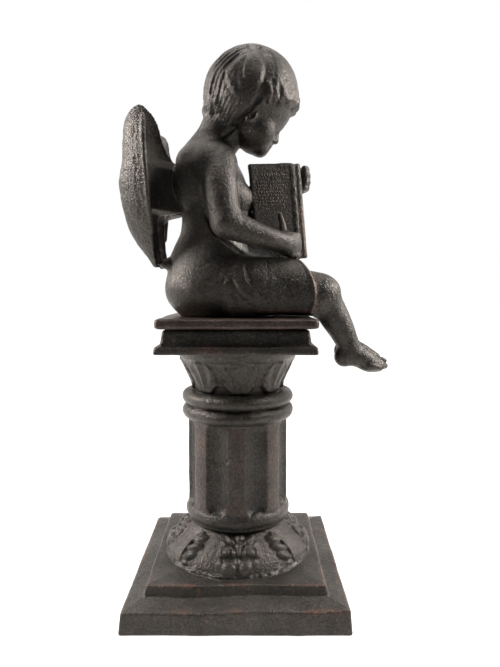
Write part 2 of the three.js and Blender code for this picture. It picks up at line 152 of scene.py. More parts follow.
def line_d(U, W, pts):
    """Plane distance from (U, W) to a polyline."""
    out = None
    for p, q in zip(pts[:-1], pts[1:]):
        dx, dy = q[0] - p[0], q[1] - p[1]
        t = np.clip(((U - p[0]) * dx + (W - p[1]) * dy) / (dx * dx + dy * dy + 1e-9), 0, 1)
        d = np.hypot(U - p[0] - t * dx, W - p[1] - t * dy)
        out = d if out is None else np.minimum(out, d)
    return out


def line_sd(U, W, pts):
    """Signed plane distance to a polyline (positive to the left of its run), and
    the place along it, 0..1."""
    n = len(pts) - 1
    best = sign = place = None
    for i, (p, q) in enumerate(zip(pts[:-1], pts[1:])):
        dx, dy = q[0] - p[0], q[1] - p[1]
        t = np.clip(((U - p[0]) * dx + (W - p[1]) * dy) / (dx * dx + dy * dy + 1e-9), 0, 1)
        d = np.hypot(U - p[0] - t * dx, W - p[1] - t * dy)
        s = np.where(dx * (W - p[1]) - dy * (U - p[0]) >= 0, 1.0, -1.0)
        if best is None:
            best, sign, place = d, s, (i + t) / n
        else:
            m = d < best
            best, sign, place = np.where(m, d, best), np.where(m, s, sign), np.where(m, (i + t) / n, place)
    return best * sign, place


def ledge(U, W, pts, height, fall, ends=0.12, crisp=0.4):
    """Relief of an overlapping edge: a step up to the left of the line that dies
    away over `fall` mm, and a thin furrow at its foot."""
    s, a = line_sd(U, W, pts)
    fade = sstep(0.0, ends, a) * (1 - sstep(1 - ends, 1.0, a))
    up = sstep(-crisp, crisp, s) * np.exp(-np.maximum(s, 0) / fall)
    foot = 0.45 * np.exp(-(((s + 0.9) / 0.7) ** 2))
    return (height * fade * (up - foot)).astype(F4)


class Field:
    def __init__(self, lo, hi, h):
        self.h = h
        self.lo = np.array(lo, float)
        n = [int(math.ceil((b - a) / h)) + 1 for a, b in zip(lo, hi)]
        self.x, self.y, self.z = (
            (lo[i] + h * np.arange(n[i])).astype(F4) for i in range(3)
        )
        self.d = np.full(n, 30.0, F4)

    def window(self, lo, hi):
        cut = []
        for ax, a, b in zip((self.x, self.y, self.z), lo, hi):
            i = max(0, int((a - ax[0]) / self.h))
            j = min(len(ax), int((b - ax[0]) / self.h) + 2)
            cut.append(slice(i, max(i + 1, j)))
        cut = tuple(cut)
        return (
            cut,
            self.x[cut[0]][:, None, None],
            self.y[cut[1]][None, :, None],
            self.z[cut[2]][None, None, :],
        )

    def put(self, cut, d, k):
        self.d[cut] = smin(self.d[cut], d.astype(F4), k)

    def carve(self, cut, d, k):
        self.d[cut] = smax(self.d[cut], -d.astype(F4), k)

    def ell(self, c, r, m=None, k=2.0, cutter=False):
        pad = max(r) + k + 2
        cut, X, Y, Z = self.window([v - pad for v in c], [v + pad for v in c])
        d = ell_d(X, Y, Z, c, r, m)
        (self.carve if cutter else self.put)(cut, d, k)

    def limb(self, points, k=2.0, n=None, cutter=False):
        pts = catmull(points, n or (len(points) * 4))
        pad = pts[:, 3].max() + k + 2
        cut, X, Y, Z = self.window(pts[:, :3].min(0) - pad, pts[:, :3].max(0) + pad)
        d = chain_d(X, Y, Z, pts)
        (self.carve if cutter else self.put)(cut, d, k)

    def both(self, points, **kw):
        self.limb(points, **kw)
        self.limb([(p[0], -p[1], *p[2:]) for p in points], **kw)

    def mesh(self):
        """Surface nets: vertices and quads of the zero surface."""
        D = self.d
        S = D < 0
        n = [s - 1 for s in D.shape]
        c = np.zeros(n, np.uint8)
        corners = [(i, j, k) for i in (0, 1) for j in (0, 1) for k in (0, 1)]
        for i, j, k in corners:
            c += S[i : i + n[0], j : j + n[1], k : k + n[2]]
        act = (c > 0) & (c < 8)
        idx = np.full(n, -1, np.int32)
        I = np.argwhere(act)
        idx[act] = np.arange(len(I), dtype=np.int32)
        vals = {cc: D[I[:, 0] + cc[0], I[:, 1] + cc[1], I[:, 2] + cc[2]] for cc in corners}
        pos = np.zeros((len(I), 3))
        cnt = np.zeros(len(I))
        for a in corners:
            for ax in range(3):
                if a[ax]:
                    continue
                b = tuple(1 if q == ax else a[q] for q in range(3))
                da, db = vals[a], vals[b]
                hit = (da < 0) != (db < 0)
                t = np.where(hit, da / np.where(hit, da - db, 1), 0)
                for q in range(3):
                    pos[:, q] += np.where(hit, a[q] + (t if q == ax else 0), 0)
                cnt += hit
        verts = (I + pos / cnt[:, None]) * self.h + self.lo
        quads = []
        for ax in range(3):
            o1, o2 = (ax + 1) % 3, (ax + 2) % 3
            lo = [slice(1, -1)] * 3
            hi = [slice(1, -1)] * 3
            lo[ax] = slice(0, -1)
            hi[ax] = slice(1, None)
            A, B = S[tuple(lo)], S[tuple(hi)]
            for inside in (True, False):
                E = np.argwhere((A != B) & (A == inside))
                base = E.copy()
                base[:, o1] += 1
                base[:, o2] += 1
                ring = []
                for e1, e2 in ((-1, -1), (0, -1), (0, 0), (-1, 0)):
                    q = base.copy()
                    q[:, o1] += e1
                    q[:, o2] += e2
                    ring.append(idx[q[:, 0], q[:, 1], q[:, 2]])
                ring = np.stack(ring, 1)
                quads.append(ring if inside else ring[:, ::-1])
        return verts, np.vstack(quads)


def value_noise(P, scale, seed):
    """Smooth noise in -1..1 at points P, one lattice cell per `scale` mm."""
    rng = np.random.RandomState(seed)
    table = rng.uniform(-1, 1, 4096)
    q = P / scale + 512.0
    i = np.floor(q).astype(np.int64)
    f = q - i
    f = f * f * (3 - 2 * f)
    out = 0.0
    for a in (0, 1):
        for b in (0, 1):
            for c in (0, 1):
                hsh = ((i[:, 0] + a) * 73856093 ^ (i[:, 1] + b) * 19349663 ^ (i[:, 2] + c) * 83492791) % 4096
                w = (
                    (f[:, 0] if a else 1 - f[:, 0])
                    * (f[:, 1] if b else 1 - f[:, 1])
                    * (f[:, 2] if c else 1 - f[:, 2])
                )
                out = out + w * table[hsh]
    return out


def raw_mesh(name, verts, polys):
    me = bpy.data.meshes.new(name)
    k = polys.shape[1]
    me.vertices.add(len(verts))
    me.vertices.foreach_set("co", verts.astype(np.float32).ravel())
    me.loops.add(polys.size)
    me.loops.foreach_set("vertex_index", polys.astype(np.int32).ravel())
    me.polygons.add(len(polys))
    me.polygons.foreach_set("loop_start", np.arange(0, polys.size, k, dtype=np.int32))
    me.update(calc_edges=True)
    me.validate()
    return me


def mesh_arrays(me):
    v = np.empty(len(me.vertices) * 3, np.float32)
    me.vertices.foreach_get("co", v)
    me.calc_loop_triangles()
    t = np.empty(len(me.loop_triangles) * 3, np.int32)
    me.loop_triangles.foreach_get("vertices", t)
    e = np.empty(len(me.edges) * 2, np.int32)
    me.edges.foreach_get("vertices", e)
    return v.reshape(-1, 3).astype(float), t.reshape(-1, 3), e.reshape(-1, 2)


def normals_of(v, t):
    n = np.cross(v[t[:, 1]] - v[t[:, 0]], v[t[:, 2]] - v[t[:, 0]])
    out = np.zeros_like(v)
    for i in range(3):
        for q in range(3):
            out[:, q] += np.bincount(t[:, i], n[:, q], len(v))
    return out / (np.linalg.norm(out, axis=1)[:, None] + 1e-12)


def spread(v, e, rounds):
    """Positions averaged over neighbours, a number of times."""
    deg = np.bincount(e.ravel(), minlength=len(v)).astype(float) + 1e-9
    p = v.copy()
    for _ in range(rounds):
        q = np.zeros_like(p)
        for a in range(3):
            q[:, a] = np.bincount(e[:, 0], p[e[:, 1], a], len(p)) + np.bincount(e[:, 1], p[e[:, 0], a], len(p))
        p = 0.5 * p + 0.5 * q / deg[:, None]
    return p


def cast(field, name, body, node, material, budget, rough=(), seed=1, extra=None, bits=None, marks=None, hidden=None):
    """Meshes a field, gives it casting unevenness, thins it to a triangle
    budget, and stores how convex each place is for the material's wear and painted glints."""
    v, quads = field.mesh()
    me = raw_mesh(name, v, quads)
    v, t, e = mesh_arrays(me)
    n = normals_of(v, t)
    move = np.zeros(len(v))
    for i, (scale, amount) in enumerate(rough):
        move += amount * value_noise(v, scale, seed * 31 + i)
    if extra is not None:
        move += extra(v)
    v = v + n * move[:, None]
    me.vertices.foreach_set("co", (v * 0.001).astype(np.float32).ravel())
    obj = bpy.data.objects.new(name, me)
    bpy.context.scene.collection.objects.link(obj)
    print(name, len(t), "before thinning")
    if hidden is not None:
        # faces between the castings and underneath are thinned hard first
        where = hidden(v)
        group = obj.vertex_groups.new(name="hidden")
        group.add([int(i) for i in np.nonzero(where)[0]], 1.0, "REPLACE")
        flat = obj.modifiers.new("flat", "DECIMATE")
        gone = int(where[t].all(1).sum())
        flat.ratio = max(0.05, 1 - 0.9 * gone / len(t))
        flat.vertex_group = "hidden"
        flat.vertex_group_factor = 10.0
        left = int(len(t) * flat.ratio)
    else:
        left = len(t)
    if left > budget or hidden is not None:
        if left > budget:
            mod = obj.modifiers.new("thin", "DECIMATE")
            mod.ratio = budget / left
        dg = bpy.context.evaluated_depsgraph_get()
        thin = bpy.data.meshes.new_from_object(obj.evaluated_get(dg))
        obj.modifiers.clear()
        obj.vertex_groups.clear()
        obj.data = thin
        bpy.data.meshes.remove(me)
        thin.name = name
        me = thin
    if bits is not None:
        v, t, e = mesh_arrays(me)
        bv, bt = bits
        both = raw_mesh(name + "_all", np.vstack([v, bv * 0.001]), np.vstack([t, bt + len(v)]))
        obj.data = both
        bpy.data.meshes.remove(me)
        both.name = name
        me = both
    v, t, e = mesh_arrays(me)
    v *= 1000.0
    n = normals_of(v, t)
    for key, rounds, gain in (("convex", 8, 0.62), ("broad", 90, 0.30)):
        c = ((v - spread(v, e, rounds)) * n).sum(1) * gain
        a = me.attributes.new(key, "FLOAT", "POINT")
        a.data.foreach_set("value", np.clip(0.5 + c, 0, 1).astype(np.float32))
    # stored marks: red for rubbed wear; pale for painted light on the angel's web and a paler seam bead on the base;
    # dim for painted shade on the near book cover
    for key in ("red", "pale", "dim"):
        if not marks or key not in marks:
            continue
        a = me.attributes.new(key, "FLOAT", "POINT")
        a.data.foreach_set("value", np.clip(marks[key](v, n), 0, 1).astype(np.float32))
    me.polygons.foreach_set("use_smooth", np.ones(len(me.polygons), bool))
    me.materials.clear()
    me.materials.append(material)
    me.update()
    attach(obj, body)
    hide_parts(node)
    print(name, len(t), "triangles")
    return obj


# --------------------------------------------------------------------------
# materials: patinated cast iron
# --------------------------------------------------------------------------
def iron(name, dark, lit, rub, dull, rub_amount=0.8, rough=0.34, metal=0.35, marks=("red", "pale"), speckle=0.16):
    """Brown-black patina: two mottled browns, a rubbed red-brown on edges, a
    duller grey in the hollows, and a fine sand-cast grain."""
    m = bpy.data.materials.new(name)
    m.use_nodes = True
    nt = m.node_tree
    nt.nodes.clear()
    N, L = nt.nodes, nt.links
    out = N.new("ShaderNodeOutputMaterial")
    bsdf = N.new("ShaderNodeBsdfPrincipled")
    L.new(bsdf.outputs["BSDF"], out.inputs["Surface"])
    bsdf.inputs["Metallic"].default_value = metal
    bsdf.inputs["Specular Tint"].default_value = (1.0, 0.89, 0.80, 1)
    pos = N.new("ShaderNodeTexCoord").outputs["Object"]

    def noise(scale, detail=3.0, rough_=0.55):
        t = N.new("ShaderNodeTexNoise")
        t.inputs["Scale"].default_value = scale
        t.inputs["Detail"].default_value = detail
        t.inputs["Roughness"].default_value = rough_
        L.new(pos, t.inputs["Vector"])
        return t.outputs["Fac"]

    def ramp(src, lo, hi, a=0.0, b=1.0):
        r = N.new("ShaderNodeMapRange")
        r.interpolation_type = "SMOOTHSTEP"
        r.inputs["From Min"].default_value = lo
        r.inputs["From Max"].default_value = hi
        r.inputs["To Min"].default_value = a
        r.inputs["To Max"].default_value = b
        L.new(src, r.inputs["Value"])
        return r.outputs["Result"]

    def math_(op, a, b):
        q = N.new("ShaderNodeMath")
        q.operation = op
        for i, s in enumerate((a, b)):
            if isinstance(s, (int, float)):
                q.inputs[i].default_value = s
            else:
                L.new(s, q.inputs[i])
        return q.outputs[0]

    def mix(f, a, b):
        q = N.new("ShaderNodeMix")
        q.data_type = "RGBA"
        L.new(f, q.inputs["Factor"])
        for key, s in (("A", a), ("B", b)):
            sock = [i for i in q.inputs if i.name == key and i.type == "RGBA"][0]
            if isinstance(s, tuple):
                sock.default_value = (*s, 1)
            else:
                L.new(s, sock)
        return [o for o in q.outputs if o.type == "RGBA"][0]

    def attr(key):
        a = N.new("ShaderNodeAttribute")
        a.attribute_name = key
        return a.outputs["Fac"]

    convex, broad = attr("convex"), attr("broad")
    blotch = ramp(noise(70, 4, 0.6), 0.36, 0.66)
    fine = noise(420, 3, 0.6)
    sand = noise(880, 2, 0.6)
    grain = noise(1500, 2, 0.6)
    col = mix(blotch, dark, lit)
    # dull grey dust in hollows
    hollow = math_("MAXIMUM", ramp(convex, 0.46, 0.28), ramp(broad, 0.44, 0.1))
    col = mix(math_("MULTIPLY", hollow, 0.75), col, dull)
    # rubbed edges, broken up by the mottling
    edge = math_("MAXIMUM", ramp(convex, 0.62, 0.88), math_("MULTIPLY", ramp(broad, 0.62, 1.0), 0.12))
    edge = math_("MULTIPLY", edge, ramp(fine, 0.3, 0.62, 0.25, 1.0))
    edge = math_("MULTIPLY", edge, rub_amount)
    col = mix(edge, col, rub)
    # sparse rusty freckles
    freck = math_("MULTIPLY", ramp(noise(190, 2, 0.5), 0.62, 0.74), 0.35)
    col = mix(freck, col, rub)
    # marked places: red-rubbed rims, and pale marks: painted light on the angel's shaded web, a paler grey on the
    # base's seam bead
    if "red" in marks:
        col = mix(math_("MULTIPLY", attr("red"), ramp(fine, 0.30, 0.62, 0.15, 0.85)), col, tuple(min(1, c * 1.25) for c in rub))
    if "pale" in marks:
        col = mix(attr("pale"), col, (0.26, 0.26, 0.245))
    # dim marks: painted shade, darkening the front face of the near book cover
    if "dim" in marks:
        col = mix(attr("dim"), col, tuple(c * 0.3 for c in dark))
    # pale grains of sand-cast skin
    col = mix(ramp(sand, 0.54, 0.70, 0.0, 0.3 + speckle), col, tuple(c * 1.9 for c in lit))
    # bright specks on the sharpest edges: partly bare metal worn through, partly painted glints standing for sparkle
    speck = math_("MULTIPLY", ramp(convex, 0.74, 0.98), ramp(noise(800, 2, 0.6), 0.54, 0.66, 0.0, 0.45))
    col = mix(speck, col, (0.30, 0.275, 0.25))
    # grain darkens its own pits
    col = mix(ramp(grain, 0.34, 0.5, 0.4, 0.0), col, tuple(c * 0.45 for c in dark))
    L.new(col, bsdf.inputs["Base Color"])
    # the sheen is broken by the sand-cast skin
    L.new(ramp(noise(760, 2, 0.6), 0.37, 0.63, 0.5 - speckle, 0.5 + speckle), bsdf.inputs["Specular IOR Level"])
    r = math_("ADD", ramp(fine, 0.3, 0.7, rough - 0.06, rough + 0.1), math_("MULTIPLY", hollow, 0.12))
    r = math_("SUBTRACT", r, math_("MULTIPLY", edge, 0.08))
    if "dim" in marks:
        r = math_("ADD", r, math_("MULTIPLY", attr("dim"), 0.18))
    height = math_("ADD", math_("MULTIPLY", grain, 0.8), math_("MULTIPLY", fine, 0.45))
    height = math_("ADD", height, math_("MULTIPLY", sand, 0.75))
    L.new(r, bsdf.inputs["Roughness"])
    bump = N.new("ShaderNodeBump")
    bump.inputs["Strength"].default_value = 0.9
    bump.inputs["Distance"].default_value = 0.00046
    L.new(height, bump.inputs["Height"])
    L.new(bump.outputs["Normal"], bsdf.inputs["Normal"])
    return m


DARK = (0.0138, 0.0140, 0.0128)
LIT = (0.029, 0.0262, 0.0236)
RUB = (0.088, 0.047, 0.035)
DULL = (0.0235, 0.0285, 0.0258)
angel_iron = iron("angel_patina", DARK, LIT, RUB, DULL, 0.55, marks=("red", "pale", "dim"))
slab_iron = iron("slab_patina", (0.023, 0.018, 0.0155), (0.040, 0.030, 0.026), (0.10, 0.048, 0.035), DULL, 0.8, marks=("red",))
column_iron = iron("column_patina", DARK, LIT, RUB, (0.028, 0.032, 0.028), 0.5, 0.34, marks=("red",), speckle=0.18)
base_iron = iron("base_patina", (0.021, 0.0195, 0.0175), (0.039, 0.0355, 0.032), (0.12, 0.056, 0.040), DULL, 0.7, 0.36, speckle=0.12)


# --------------------------------------------------------------------------
# base: two-step plinth, domed foot, eight ornaments
# --------------------------------------------------------------------------
def frustum_d(X, Y, Z, zs, halves, top, corner=1.6, k=1.0):
    """Square body: half side `halves` at heights `zs`, upper face z = top."""
    w = np.interp(Z, zs, halves)
    m = smax(np.abs(X), np.abs(Y), corner)
    return smax(m - w, Z - top, k), m


def build_base():
    h = 0.60
    f = Field((-60, -60, -3), (60, 60, 40), h)
    cut, X, Y, Z = f.window((-60, -60, -3), (60, 60, 40))
    wave = 0.40 * np.sin(X * 0.11 + 0.6) + 0.30 * np.sin(Y * 0.13 + 1.1) + 0.7 * X / 57.0
    m0 = np.maximum(np.abs(X), np.abs(Y))
    low = 11.2 + wave + (55.8 - m0) * 0.26
    d, _ = frustum_d(X, Y, Z, [0, 11.6], [56.9, 55.9], low, 1.6, 1.0)
    top = 18.9 + 0.4 * wave + np.maximum(0, (44.6 - m0)) * 0.10
    d2, _ = frustum_d(X, Y, Z, [12, 18.8], [46.9, 45.2], np.minimum(top, 19.9), 1.5, 0.8)
    d = smin(d, d2, 0.5)
    rho = np.sqrt(X * X + Y * Y)
    ang = np.arctan2(Y, X)
    # domed foot: swelling ovolo, drawn-in neck, flat seat for the column
    zs = np.array([12.0, 20.0, 21.8, 25.0, 29.0, 32.5, 35.2, 37.6])
    rs = np.array([40.2, 40.0, 39.6, 38.0, 34.8, 31.2, 28.2, 25.2])
    R = spline(zs, rs, np.asarray(Z, float)).astype(F4)
    dome = smax((rho - R) * 0.8, Z - 37.6, 0.8)
    d = smin(d, dome, 0.5)
    # ragged casting seam along the dome's foot
    rag = 0.6 * np.sin(ang * 11 + 2.5 * np.sin(ang * 3)) + 0.35 * np.sin(ang * 29 + 3 * np.sin(ang * 5)) + 0.2 * np.sin(ang * 67 + 2)
    bead = np.hypot(rho - 40.5 - 0.25 * rag, Z - (20.3 + 0.2 * rag)) - (0.7 + 0.25 * rag)
    d = smin(d, bead, 0.4)
    d = smax(d, -Z, 0.5)
    f.d[cut] = d.astype(F4)

    # ornaments on the dome: ridges (points side/up, radius) and lobes (side, up,
    # half side, half up, turn, proud)
    palmette = (
        [
            ([(-8.3, 1.2), (-8.1, 4.2), (-5.8, 5.6), (-3.4, 4.4)], 1.0),
            ([(10.9, 1.4), (10.4, 4.6), (8.0, 5.8), (5.6, 4.6)], 1.0),
            ([(1.2, 5.8), (1.2, 1.6)], 0.9),
        ],
        [
            (1.6, 10.6, 2.5, 3.0, 0.0, 2.5),
            (-3.2, 9.0, 1.9, 3.4, 0.60, 2.2),
            (6.4, 8.8, 2.2, 3.5, -0.60, 2.5),
            (-6.2, 7.2, 1.4, 2.2, 0.9, 1.5),
            (9.2, 7.0, 1.4, 2.2, -0.9, 1.5),
            (1.4, 6.4, 3.2, 2.0, 0.0, 1.3),
            (-5.4, 2.6, 2.5, 2.1, 0.3, 2.1),
            (7.6, 2.8, 2.6, 2.1, -0.3, 2.2),
            (-1.4, 2.4, 1.3, 2.4, 0.2, 1.7),
            (3.8, 2.4, 1.3, 2.4, -0.2, 1.7),
            (-4.2, -5.6, 4.6, 4.6, 0.25, 2.7),
            (-8.2, -3.6, 2.0, 3.0, 0.5, 1.7),
            (4.9, -5.2, 3.9, 4.6, -0.2, 2.6),
            (9.2, -2.8, 1.9, 2.8, -0.5, 1.7),
            (0.6, -2.6, 1.5, 2.6, 0.0, 1.6),
        ],
    )
    scroll = (
        [([(-1.2, 9.6), (3.2, 4.4), (5.8, -2.4), (6.4, -7.2)], 0.9)],
        [
            (-1.8, 6.8, 4.6, 2.2, -0.55, 1.9),
            (-0.8, 1.8, 5.3, 2.4, -0.55, 2.1),
            (0.4, -3.3, 5.1, 2.3, -0.50, 1.9),
            (2.4, -7.6, 3.2, 1.8, -0.20, 1.5),
            (-6.2, -8.2, 2.3, 1.9, 0.0, 1.2),
        ],
    )
    tang = np.array([-0.61, 0.793])
    norm = np.array([0.793, 0.61])
    for i in range(8):
        # the scrolls lean a little towards the front and back palmettes
        a = -math.pi / 2 + i * math.pi / 4 + (0.0, -0.06, 0.0, 0.06, 0.0, -0.06, 0.0, 0.06)[i]
        ca, sa = math.cos(a), math.sin(a)
        r0, z0 = 35.6, 28.4
        c0 = (r0 * ca, r0 * sa, z0)
        cut, X, Y, Z = f.window([q - 18 for q in c0], [q + 18 for q in c0])
        xr = X * ca + Y * sa
        u = -X * sa + Y * ca
        qx, qz = xr - r0, Z - z0
        w = qx * tang[0] + qz * tang[1]
        n = qx * norm[0] + qz * norm[1]
        n = n + u * u / 72.0 + (w * w) / 46.0
        flip = 1.0 if i in (0, 1, 2, 4, 5, 6) else -1.0
        ridges, lobes = palmette if i % 2 == 0 else scroll
        grp = None
        for pts, rr in ridges:
            pts = catmull([(p[0] * flip, p[1], 0.35, rr + 0.3) for p in pts], 5 * len(pts))
            d = chain_d(u, w, n, pts)
            grp = d if grp is None else smin(grp, d, 0.25)
        for su, sw, ru, rw, tt, pr in lobes:
            su, tt = su * flip, tt * flip
            du, dw = u - su, w - sw
            eu = du * math.cos(tt) + dw * math.sin(tt)
            ew = -du * math.sin(tt) + dw * math.cos(tt)
            grp = smin(grp, ell_d(eu, ew, n, (0, 0, -0.35), (ru, rw, pr + 0.35)), 0.3 if i % 2 == 0 else 0.5)
        f.d[cut] = smin(f.d[cut], grp.astype(F4), 0.45)

    def rubbed(v, n):
        x, y, z = v.T
        m = np.maximum(np.abs(x), np.abs(y))
        some = sstep(-0.25, 0.45, value_noise(v, 13.0, 21)) * (0.5 + 0.5 * sstep(-0.4, 0.4, value_noise(v, 3.0, 22)))
        plinth = np.exp(-(((m - 55.2) / 1.5) ** 2 + ((z - 11.6) / 1.5) ** 2))
        step = np.exp(-(((m - 44.8) / 1.4) ** 2 + ((z - 19.2) / 1.2) ** 2))
        return 0.75 * (plinth + step) * some

    def flash(v, n):
        x, y, z = v.T
        some = sstep(0.0, 0.5, value_noise(v, 4.0, 23))
        return 0.4 * np.exp(-(((np.hypot(x, y) - 41.0) / 0.8) ** 2 + ((z - 20.7) / 0.7) ** 2)) * some

    return cast(
        f, "base_casting", "root", "base", base_iron, 190000,
        rough=((16, 0.24), (5, 0.10)), seed=3, marks={"red": rubbed, "pale": flash},
        hidden=lambda v: (v[:, 2] < 0.8) | ((v[:, 2] > 37.0) & (np.hypot(v[:, 0], v[:, 1]) < 23.5)),
    )


# --------------------------------------------------------------------------
# column: torus, fluted shaft, collar rings, leaf capital, abacus, block
# --------------------------------------------------------------------------
def build_column():
    h = 0.60
    f = Field((-44, -44, 35), (44, 44, 150), h)
    cut, X, Y, Z = f.window((-44, -44, 35), (44, 44, 150))
    rho = np.sqrt(X * X + Y * Y)
    ang = np.arctan2(Y, X)
    # shaft with eight wide flutes
    SR = 28.1
    d = smax(rho - (SR - 0.004 * (Z - 40)), np.abs(Z - 73.5) - 35.4, 0.6)
    sector = math.pi / 4
    off = ((ang + math.pi / 2) / sector - 0.5)
    loc = (off - np.round(off)) * sector
    gx, gy = rho * np.cos(loc), rho * np.sin(loc)
    zc = np.clip(Z, 46.4 + 5.2, 95.4 - 5.2)
    flute = np.sqrt((gx - (SR - 3.3 + 8.6)) ** 2 + gy**2 + (Z - zc) ** 2 * 1.1) - 8.6
    d = smax(d, -flute, 0.5)

    # foot torus, two collar rings
    def ring(z, outer, r, squash=1.0):
        return np.hypot(rho - (outer - r), (Z - z) * squash) - r

    slack = 0.25 * np.sin(ang * 5 + 0.7) + 0.18 * np.sin(ang * 11 + 2)
    d = smin(d, smax(ring(43.1 + slack, 29.6, 4.6), 37.95 - Z, 0.5), 0.5)
    d = smin(d, ring(99.5 + 0.6 * slack, 31.4, 3.9), 0.4)
    d = smin(d, ring(107.3 - 0.6 * slack, 31.4, 3.8), 0.4)
    d = smin(d, smax(rho - 28.3, np.abs(Z - 96.2) - 0.9, 0.6), 0.6)
    # bell of the capital with hanging leaves
    bz = [108, 111, 114, 117, 120, 122.5, 125, 128, 131, 136]
    br = [24.3, 24.5, 24.9, 25.7, 27.0, 28.3, 29.6, 31.4, 32.9, 34.6]
    bell = spline(bz, br, np.asarray(Z, float)).astype(F4)
    band = sstep(128.6, 129.8, Z) * 0.7
    off = (ang + math.pi / 2) / sector - 0.08
    loc = (off - np.round(off)) * sector
    u = loc * bell
    w = Z - 112.0
    half = 9.0 * np.sqrt(np.clip(1.0 - ((w - 9.0) / 9.8) ** 2, 0.0, 1.0)) ** 0.8
    half = half * (1.0 + 0.06 * np.cos(w * 1.35 + 0.6)) * (1.0 - 0.10 * sstep(12, 17, w))
    inside = half - np.abs(u)
    topcut = 17.6 - w - 0.8 * np.abs(np.sin(u * 0.45))
    edge = smin(inside, topcut, 1.2)
    fan = np.arctan2(u, w + 4.5)
    leaf = sstep(-0.8, 1.7, edge) * (1.75 - 0.055 * w)
    veins = 0.40 * np.cos(fan * 14.0) * sstep(2.0, 7.0, w) + 0.35 * np.exp(-((u / 0.8) ** 2)) * sstep(0.5, 3, w)
    leaf = leaf + veins * sstep(0.0, 1.6, edge) + 0.25 * np.exp(-(((edge - 1.0) / 0.8) ** 2)) * (edge > -0.5)
    # small fill leaf in the corner between two leaves
    off2 = off - 0.5
    loc2 = (off2 - np.round(off2)) * sector
    u2 = loc2 * bell
    half2 = 2.6 * np.sqrt(np.clip((w - 6.0) / 9.0, 0, 1))
    fill = sstep(-0.6, 1.2, np.minimum(half2 - np.abs(u2), 15.5 - w)) * 0.4
    R = bell - 0.4 + band + np.maximum(leaf, fill) * sstep(109.5, 112.6, Z)
    d = smin(d, smax((rho - R) * 0.82, np.abs(Z - 122) - 13.6, 0.4), 0.35)
    # abacus and block
    m0 = smax(np.abs(X), np.abs(Y), 1.8)
    low = smax(m0 - (41.1 - 0.10 * (Z - 134)), Z - (138.9 - np.maximum(0, m0 - 37.5) * 0.22), 0.9)
    low = smax(low, 134.4 - Z, 0.9)
    rag = 0.18 * np.sin(X * 0.5) + 0.15 * np.sin(Y * 0.43 + 1)
    block = smax(m0 - np.interp(Z, [138, 139.2, 141.0, 146.0], [38.6, 38.0, 37.5, 36.9]) + rag, np.abs(Z - 141.0) - 5.7, 1.9)
    d = smin(d, smin(low, block, 0.4), 0.5)
    f.d[cut] = d.astype(F4)
    # a few blow-holes of the casting
    for a, z, r, rr in ((-1.76, 76.5, 27.2, 1.2), (-1.2, 121.0, 27.9, 0.7), (-1.42, 62, 26.6, 0.6), (0.6, 70, 26.2, 0.8), (2.4, 84, 26.0, 0.8)):
        f.ell((r * math.cos(a), r * math.sin(a), z), (rr, rr, rr * 1.3), k=0.4, cutter=True)
    def fillets(v, n):
        a = (np.arctan2(v[:, 1], v[:, 0]) + math.pi / 2) / sector
        a = np.abs(a - np.round(a)) * sector
        shaft = sstep(46, 50, v[:, 2]) * (1 - sstep(93, 97, v[:, 2]))
        patch = 0.45 + 0.55 * value_noise(v, 7.0, 5)
        plate = np.exp(-(((v[:, 0] + 13.0) / 6.0) ** 2 + ((v[:, 2] - 137.0) / 2.5) ** 2)) * (v[:, 1] < -36)
        return 0.55 * (1 - sstep(0.13, 0.19, a)) * shaft * patch + 0.8 * plate

    return cast(
        f, "column_casting", "root", "column", column_iron, 190000, marks={"red": fillets},
        rough=((11, 0.16), (4, 0.08)), seed=5,
        hidden=lambda v: (v[:, 2] > 145.9) | ((v[:, 2] < 38.8) & (np.hypot(v[:, 0], v[:, 1]) < 24)),
    )


def build_slab():
    h = 0.7
    f = Field((-45, -45, 144), (45, 45, 156), h)
    cut, X, Y, Z = f.window((-45, -45, 144), (45, 45, 156))
    c, s = math.cos(0.012), math.sin(0.012)
    x, y = X * c + Y * s, -X * s + Y * c
    w = 40.9 + 0.25 * np.sin(y * 0.16) * (np.abs(x) > np.abs(y)) + 0.25 * np.sin(x * 0.14 + 1) * (np.abs(x) <= np.abs(y))
    m0 = smax(np.abs(x), np.abs(y), 3.2)
    d = smax(m0 - w, np.abs(Z - 149.62) - 2.58, 1.9)
    f.d[cut] = d.astype(F4)
    def rubbed(v, n):
        some = sstep(-0.3, 0.5, value_noise(v, 11.0, 31)) * (0.5 + 0.5 * sstep(-0.4, 0.4, value_noise(v, 2.6, 32)))
        return 0.7 * some * np.exp(-(((np.abs(v[:, 2] - 149.6) - 2.3) / 1.1) ** 2))

    return cast(
        f, "slab_casting", "root", "seat_slab", slab_iron, 90000,
        rough=((10, 0.16), (3.5, 0.07)), seed=9, marks={"red": rubbed},
        hidden=lambda v: (np.abs(v[:, 2] - 149.62) > 2.2) & (np.maximum(np.abs(v[:, 0]), np.abs(v[:, 1])) < 34),
    )


# --------------------------------------------------------------------------
# angel
# --------------------------------------------------------------------------
SEAT = 152.5
WING_LOW, WING_HIGH = 177.2, 259.0


